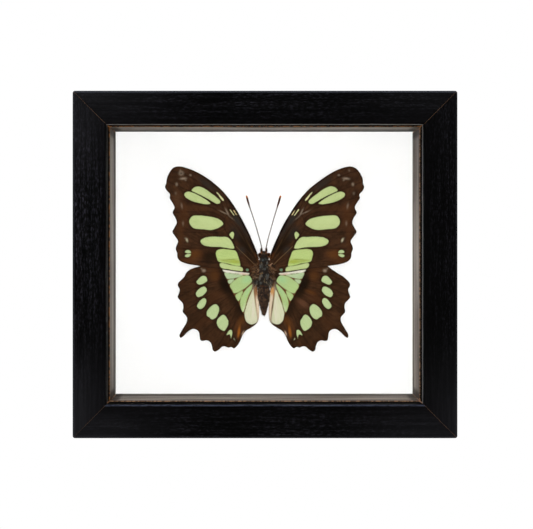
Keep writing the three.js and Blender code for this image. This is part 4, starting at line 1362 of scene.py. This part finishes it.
def eye_finish(side, middle):
    """Dark faceted eye with a brown rim round its front."""
    finish = Finish("eye_facets_" + side)
    x, _, z = finish.axes()
    out = ((x - middle[0]) ** 2 + (z - middle[2]) ** 2) ** 0.5
    mottle = finish.noise(finish.place(), 1500.0, 2.0)
    rim = finish.step(out + (mottle - 0.5) * (0.3 * MM), 0.42 * MM, 0.62 * MM)
    finish.set(
        Base_Color=finish.mix(rim, paint(14, 10, 8), paint(78, 44, 20)),
        Roughness=0.28 + mottle * 0.2,
        Specular_IOR_Level=0.4,
    )
    return finish


def eyes():
    for side, hand in (("left", -1), ("right", 1)):
        middle = to_frame(hand * 1.85 + EYES_MIDDLE, 4.6, 4.4) * MM
        begin(bpy.ops.mesh.primitive_ico_sphere_add, subdivisions=4, radius=0.95 * MM, location=middle)
        bpy.ops.transform.resize(value=(0.85, 1.1, 1.0), center_override=middle)
        bpy.ops.mesh.inset(thickness=0.016 * MM, depth=0.014 * MM, use_individual=True)
        piece = close("faceted_eye_" + side, smooth_angle=25)
        finish_piece(piece, eye_finish(side, middle), "eye_facets", "eye_" + side)


def body():
    shell = chitin("body_shell", paint(18, 15, 14), paint(40, 31, 26))
    finish_piece(turned("thorax_body", THORAX, THORAX_RATIO), shell, "body_hair", "thorax")
    rings = segmented(ABDOMEN, ABDOMEN_GROOVES)
    finish_piece(turned("abdomen_body", rings, ABDOMEN_RATIO), shell, "body_hair", "abdomen")
    finish_piece(turned("head_body", HEAD, HEAD_RATIO), shell, "body_hair", "head")
    palp_shell = Finish("palp_shell")
    _, _, z = palp_shell.axes()
    mottle = palp_shell.noise(palp_shell.place(), 2500.0, 2.0)
    base = palp_shell.step(z - INSECT_MIDDLE + (mottle - 0.5) * (0.6 * MM), 6.1 * MM, 5.5 * MM)
    palp_shell.set(Base_Color=palp_shell.mix(base, paint(24, 16, 12), paint(104, 60, 26)),
                   Roughness=0.55 + mottle * 0.2, Specular_IOR_Level=0.2)
    for side, hand in (("left", -1), ("right", 1)):
        path = [place + (BODY_AXIS / MM, 0, 0) for place in limb_path(PALP, hand, 0.2)]
        radii = np.interp(np.linspace(0, 1, len(path)), *zip(*PALP_SWELL))
        finish_piece(tube("mouth_palp_" + side, path, radii), palp_shell, "body_hair", "palp_" + side)


def tuft(name, rng, locks, place, way, lengths, thick, droop, finish, lock=1):
    """Locks of like hairs whose roots and ways come from two functions of the random source."""
    roots, ways = (np.repeat([make(rng) for _ in range(locks)], lock, axis=0) for make in (place, way))
    if lock > 1:
        roots = roots + rng.normal(0, LOCK_SPREAD, roots.shape)
        ways = ways + rng.normal(0, LOCK_SPREAD, ways.shape)
    reach, shades = (np.repeat(draw, lock) for draw in (rng.uniform(*lengths, locks), rng.random(locks)))
    piece = hairs(name, roots, ways, reach, shades, thick, droop, locks)
    finish_piece(piece, finish, "body_hair")


# Colours of the hairs on each part, from the darkest strands to the palest
FURS = {
    "thorax_fur": [(0.0, (8, 8, 9)), (0.35, (24, 25, 24)), (0.55, (50, 52, 49)), (0.75, (92, 105, 108)),
        (0.9, (98, 78, 56)), (1.0, (194, 150, 90))],
    "crown_fur": [(0.0, (6, 6, 6)), (0.5, (24, 22, 19)), (0.75, (58, 58, 52)), (0.92, (112, 68, 34)),
        (1.0, (156, 96, 46))],
    "root_fur": [(0.0, (10, 7, 5)), (0.5, (28, 19, 13)), (0.62, (86, 57, 36)), (0.86, (132, 94, 62)),
        (1.0, (176, 138, 108))],
    "flank_fur": [(0.0, (8, 8, 9)), (0.5, (30, 29, 27)), (0.7, (70, 72, 70)), (0.85, (110, 112, 106)),
        (1.0, (150, 128, 104))],
    "abdomen_fur": [(0.0, (52, 36, 26)), (0.6, (86, 63, 47)), (0.9, (112, 85, 63)), (1.0, (144, 94, 56))],
    "waist_fur": [(0.0, (60, 32, 16)), (1.0, (134, 74, 32))],
    "palp_fur": [(0.0, (24, 16, 11)), (0.6, (58, 34, 18)), (1.0, (150, 88, 36))],
    "white_fur": [(0.0, (206, 202, 194)), (1.0, (236, 234, 228))],
}
# Each coat: the body it grows on, how many clumps, from and to which height, which way the hairs flow and
# how steeply they stand, their lengths and thickness, their colours and the lighter lobes among them
COATS = [
    ("thorax_hairs", THORAX, THORAX_RATIO, 330, (-8.8, 3.4), (0, 0, -0.7), 0.5, (0.5, 1.0), 0.06,
     "thorax_fur", THORAX_LOBES),
    ("abdomen_hairs", ABDOMEN, ABDOMEN_RATIO, 300, (-21.4, -9.2), (0, 0, -0.8), 0.2, (0.35, 0.7), 0.05,
     "abdomen_fur", ABDOMEN_LOBES),
    ("waist_hairs", THORAX, THORAX_RATIO, 34, (-9.3, -8.6), (0, 0, -0.9), 0.4, (0.4, 0.7), 0.06,
     "waist_fur", None),
    ("head_hairs", HEAD, HEAD_RATIO, 70, (3.0, 5.7), (0, -0.2, 0.3), 0.6, (0.3, 0.6), 0.05,
     "crown_fur", HEAD_LOBES),
]
WHITE_DOTS = {"left": -2.3, "right": 2.0}


def beside(hand, across, lift, up):
    """A source of roots at one side of the body, evenly spread over three ranges."""
    axis = BODY_AXIS / MM
    return lambda rng: to_frame(hand * rng.uniform(*across) + axis, rng.uniform(*lift), rng.uniform(*up))


def outward(hand, out, lift, up, spread):
    """A source of ways out to one side, even in two directions and scattered about one height."""
    return lambda rng: np.array((hand * rng.uniform(*out), rng.uniform(*lift), rng.normal(up, spread)))


def fur():
    rng = np.random.default_rng(11)
    axis = BODY_AXIS / MM
    furs = {name: hair_finish(name, *((place, paint(*colour)) for place, colour in stops))
            for name, stops in FURS.items()}
    sag = (0, 0.08, -0.1)
    for number, row in enumerate(COATS):
        name, profile, ratio, clumps, (low, high), flow, stand, lengths, thick, look, lobes = row
        roots, ways, shades = coat(profile, ratio, clumps, low, high, rng, flow, stand, lobes)
        reach = rng.uniform(*lengths, len(roots))
        piece = hairs(name, roots, ways, reach, shades, thick, sag, number)
        finish_piece(piece, furs[look], "body_hair")
    for side, hand in (("left", -1), ("right", 1)):
        tuft("wing_root_hairs_" + side, rng, 120,
             beside(hand, (1.8, 3.6), (5.0, 5.9), (-5.6, 0.4)),
             outward(hand, (0.3, 1.2), (-0.15, 0.05), -0.15, 0.6),
             (0.9, 2.6), 0.05, sag, furs["root_fur"], lock=7)
        tuft("flank_hairs_" + side, rng, 70,
             beside(hand, (1.9, 3.4), (4.8, 5.6), (-8.6, -5.2)),
             outward(hand, (0.1, 0.9), (-0.2, 0.05), -0.5, 0.6),
             (0.8, 2.2), 0.05, (0, 0.05, -0.1), furs["flank_fur"], lock=7)
        tuft("waist_side_hairs_" + side, rng, 70,
             beside(hand, (1.7, 2.6), (4.2, 5.2), (-8.8, -7.4)),
             lambda rng: np.array((hand * rng.uniform(0, 0.5), rng.uniform(-0.2, 0.1), -1)),
             (0.8, 1.7), 0.06, (0, 0.05, 0), furs["flank_fur"])
        tuft("shoulder_hairs_" + side, rng, 200,
             beside(hand, (1.7, 2.7), (4.9, 5.5), (-0.4, 3.8)),
             outward(hand, (0, 0.7), (-0.4, 0), 0.1, 0.6),
             (0.4, 1.0), 0.06, (0, 0.1, 0), furs["palp_fur"])
        tuft("palp_hairs_" + side, rng, 60,
             lambda rng: to_frame(hand * (1.0 + rng.normal(0, 0.12)) + axis, 5.1 + rng.normal(0, 0.12),
                                  rng.uniform(5.2, 6.9)),
             lambda rng: np.array((rng.normal(0, 0.4), rng.normal(-0.3, 0.4), 0.8)),
             (0.2, 0.45), 0.05, (0, 0, 0), furs["palp_fur"])
        tuft("white_dot_" + side, rng, 80,
             lambda rng: to_frame(WHITE_DOTS[side] + rng.normal(0, 0.12), rng.uniform(5.9, 6.2),
                                  2.55 + rng.normal(0, 0.12)),
             lambda rng: np.array((rng.normal(0, 0.6), -0.8, rng.normal(0, 0.6))),
             (0.15, 0.3), 0.06, (0, 0, 0), furs["white_fur"])


def glue():
    finish = Finish("dried_glue")
    cloud = finish.noise(finish.place(), 900.0, 3.0)
    amber = finish.mix(cloud, paint(196, 176, 128), paint(226, 212, 170))
    finish.set(Base_Color=amber, Roughness=0.3 + cloud * 0.1)
    low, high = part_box("glue_pad")
    middle = (low + high) / 2
    radius = (high.x - low.x) / 2
    begin(bpy.ops.mesh.primitive_circle_add, vertices=24, radius=radius, fill_type="NGON",
          location=(middle.x, high.y, middle.z), rotation=(math.pi / 2, 0, 0))
    rise = high.y - low.y
    for share, grow in ((0.35, 0.9), (0.35, 0.86), (0.3, 1.15)):
        bpy.ops.mesh.extrude_region_move(TRANSFORM_OT_translate={"value": (0, -rise * share, 0)})
        bpy.ops.transform.resize(value=(grow, 1, grow), center_override=(middle.x, high.y, middle.z))
    piece = close("glue_drop")
    modify(piece, "SUBSURF", levels=1, render_levels=1)
    bpy.ops.object.shade_smooth()
    finish_piece(piece, finish, "dried_glue", "glue_pad")


# Stage, light and camera

# Photograph 533 by 529 pixels: focal length and optical axis in its pixels, and the camera's place
PHOTO_WIDTH, PHOTO_HEIGHT = 533, 529
FOCAL_PIXELS = 1101
AXIS_PIXEL = (252.1, 243.0)
CAMERA_DISTANCE = 454.2 * MM
CAMERA_LEFT = 5.33 * MM
CAMERA_ABOVE_MIDDLE = 8.86 * MM
SENSOR = 36.0
CAMERA_PLACE = (-CAMERA_LEFT, FRONT - CAMERA_DISTANCE, HEIGHT / 2 + CAMERA_ABOVE_MIDDLE)

# Strength of the white surround as a light, power and size of the lamp at the lens
SURROUND = 0.28
FRONT_WATTS = 3.1
RING_SIZE = 0.08
# The other lamps: place, size and power
LAMPS = {
    "softbox_left": ((-1.3, -0.7, 1.1), 0.6, 5),
    "panel_behind": ((0.3, 1.8, 0.6), 2.0, 26),
    "softbox_right": ((1.4, 0.35, 0.6), 0.8, 12),
    "softbox_above": ((-0.2, 0.35, 1.5), 0.8, 10),
}
FLOOR_SIZE = 4.0


def floor():
    """A plain white floor that melts into the white surround."""
    begin(bpy.ops.mesh.primitive_plane_add, size=FLOOR_SIZE, location=(0, 0, cad_low.z - 0.2 * MM))
    piece = close("white_floor")
    finish = Finish("white_floor")
    finish.set(Base_Color=(0, 0, 0, 1), Specular_IOR_Level=0.0)
    finish.set(Emission_Color=(1, 1, 1, 1), Emission_Strength=1.0)
    piece.data.materials.append(finish.material)
    piece.visible_diffuse = piece.visible_glossy = piece.visible_transmission = piece.visible_shadow = False


def area_lamp(name, place, target, size, watts, mirrored=True):
    data = bpy.data.lights.new(name, "AREA")
    data.shape, data.size, data.energy = "SQUARE", size, watts
    lamp = bpy.data.objects.new(name, data)
    lamp.location = place
    lamp.rotation_euler = (Vector(target) - Vector(place)).to_track_quat("-Z", "Y").to_euler()
    lamp.visible_glossy = lamp.visible_transmission = mirrored
    lamp.visible_camera = False
    bpy.context.collection.objects.link(lamp)


def light():
    """An even white studio: the surround looks plain white but lights less, and one lamp is at the lens."""
    scene = bpy.context.scene
    scene.view_settings.view_transform = "Standard"
    world = bpy.data.worlds.new("studio")
    scene.world = world
    world.use_nodes = True
    nodes, links = world.node_tree.nodes, world.node_tree.links
    path = nodes.new("ShaderNodeLightPath")
    strength = nodes.new("ShaderNodeMapRange")
    strength.inputs["To Min"].default_value = SURROUND
    strength.inputs["To Max"].default_value = 1.0
    links.new(path.outputs["Is Camera Ray"], strength.inputs["Value"])
    links.new(strength.outputs[0], nodes["Background"].inputs["Strength"])
    nodes["Background"].inputs["Color"].default_value = (1, 1, 1, 1)
    world.cycles_visibility.glossy = False
    world.cycles_visibility.transmission = False
    middle = Vector((0, 0, HEIGHT / 2))
    lens = Vector(CAMERA_PLACE) - Vector((0, 0.05, 0))
    area_lamp("ring_lamp", lens, lens + Vector((0, 1, 0)), RING_SIZE, FRONT_WATTS, mirrored=False)
    for name, (place, size, watts) in LAMPS.items():
        area_lamp(name, place, middle, size, watts)


def camera():
    data = bpy.data.cameras.new("camera")
    data.sensor_width = SENSOR
    data.lens = FOCAL_PIXELS * SENSOR / PHOTO_WIDTH
    data.shift_x = (PHOTO_WIDTH / 2 - AXIS_PIXEL[0]) / PHOTO_WIDTH
    data.shift_y = (AXIS_PIXEL[1] - PHOTO_HEIGHT / 2) / PHOTO_WIDTH
    view = bpy.data.objects.new("camera", data)
    view.location = CAMERA_PLACE
    view.rotation_euler = (math.pi / 2, 0, 0)
    bpy.context.collection.objects.link(view)
    bpy.context.scene.camera = view


wooden_frame()
boards()
steel_tabs()
hanging()
wings()
body()
eyes()
antennae()
legs()
fur()
glue()
floor()
light()
camera()
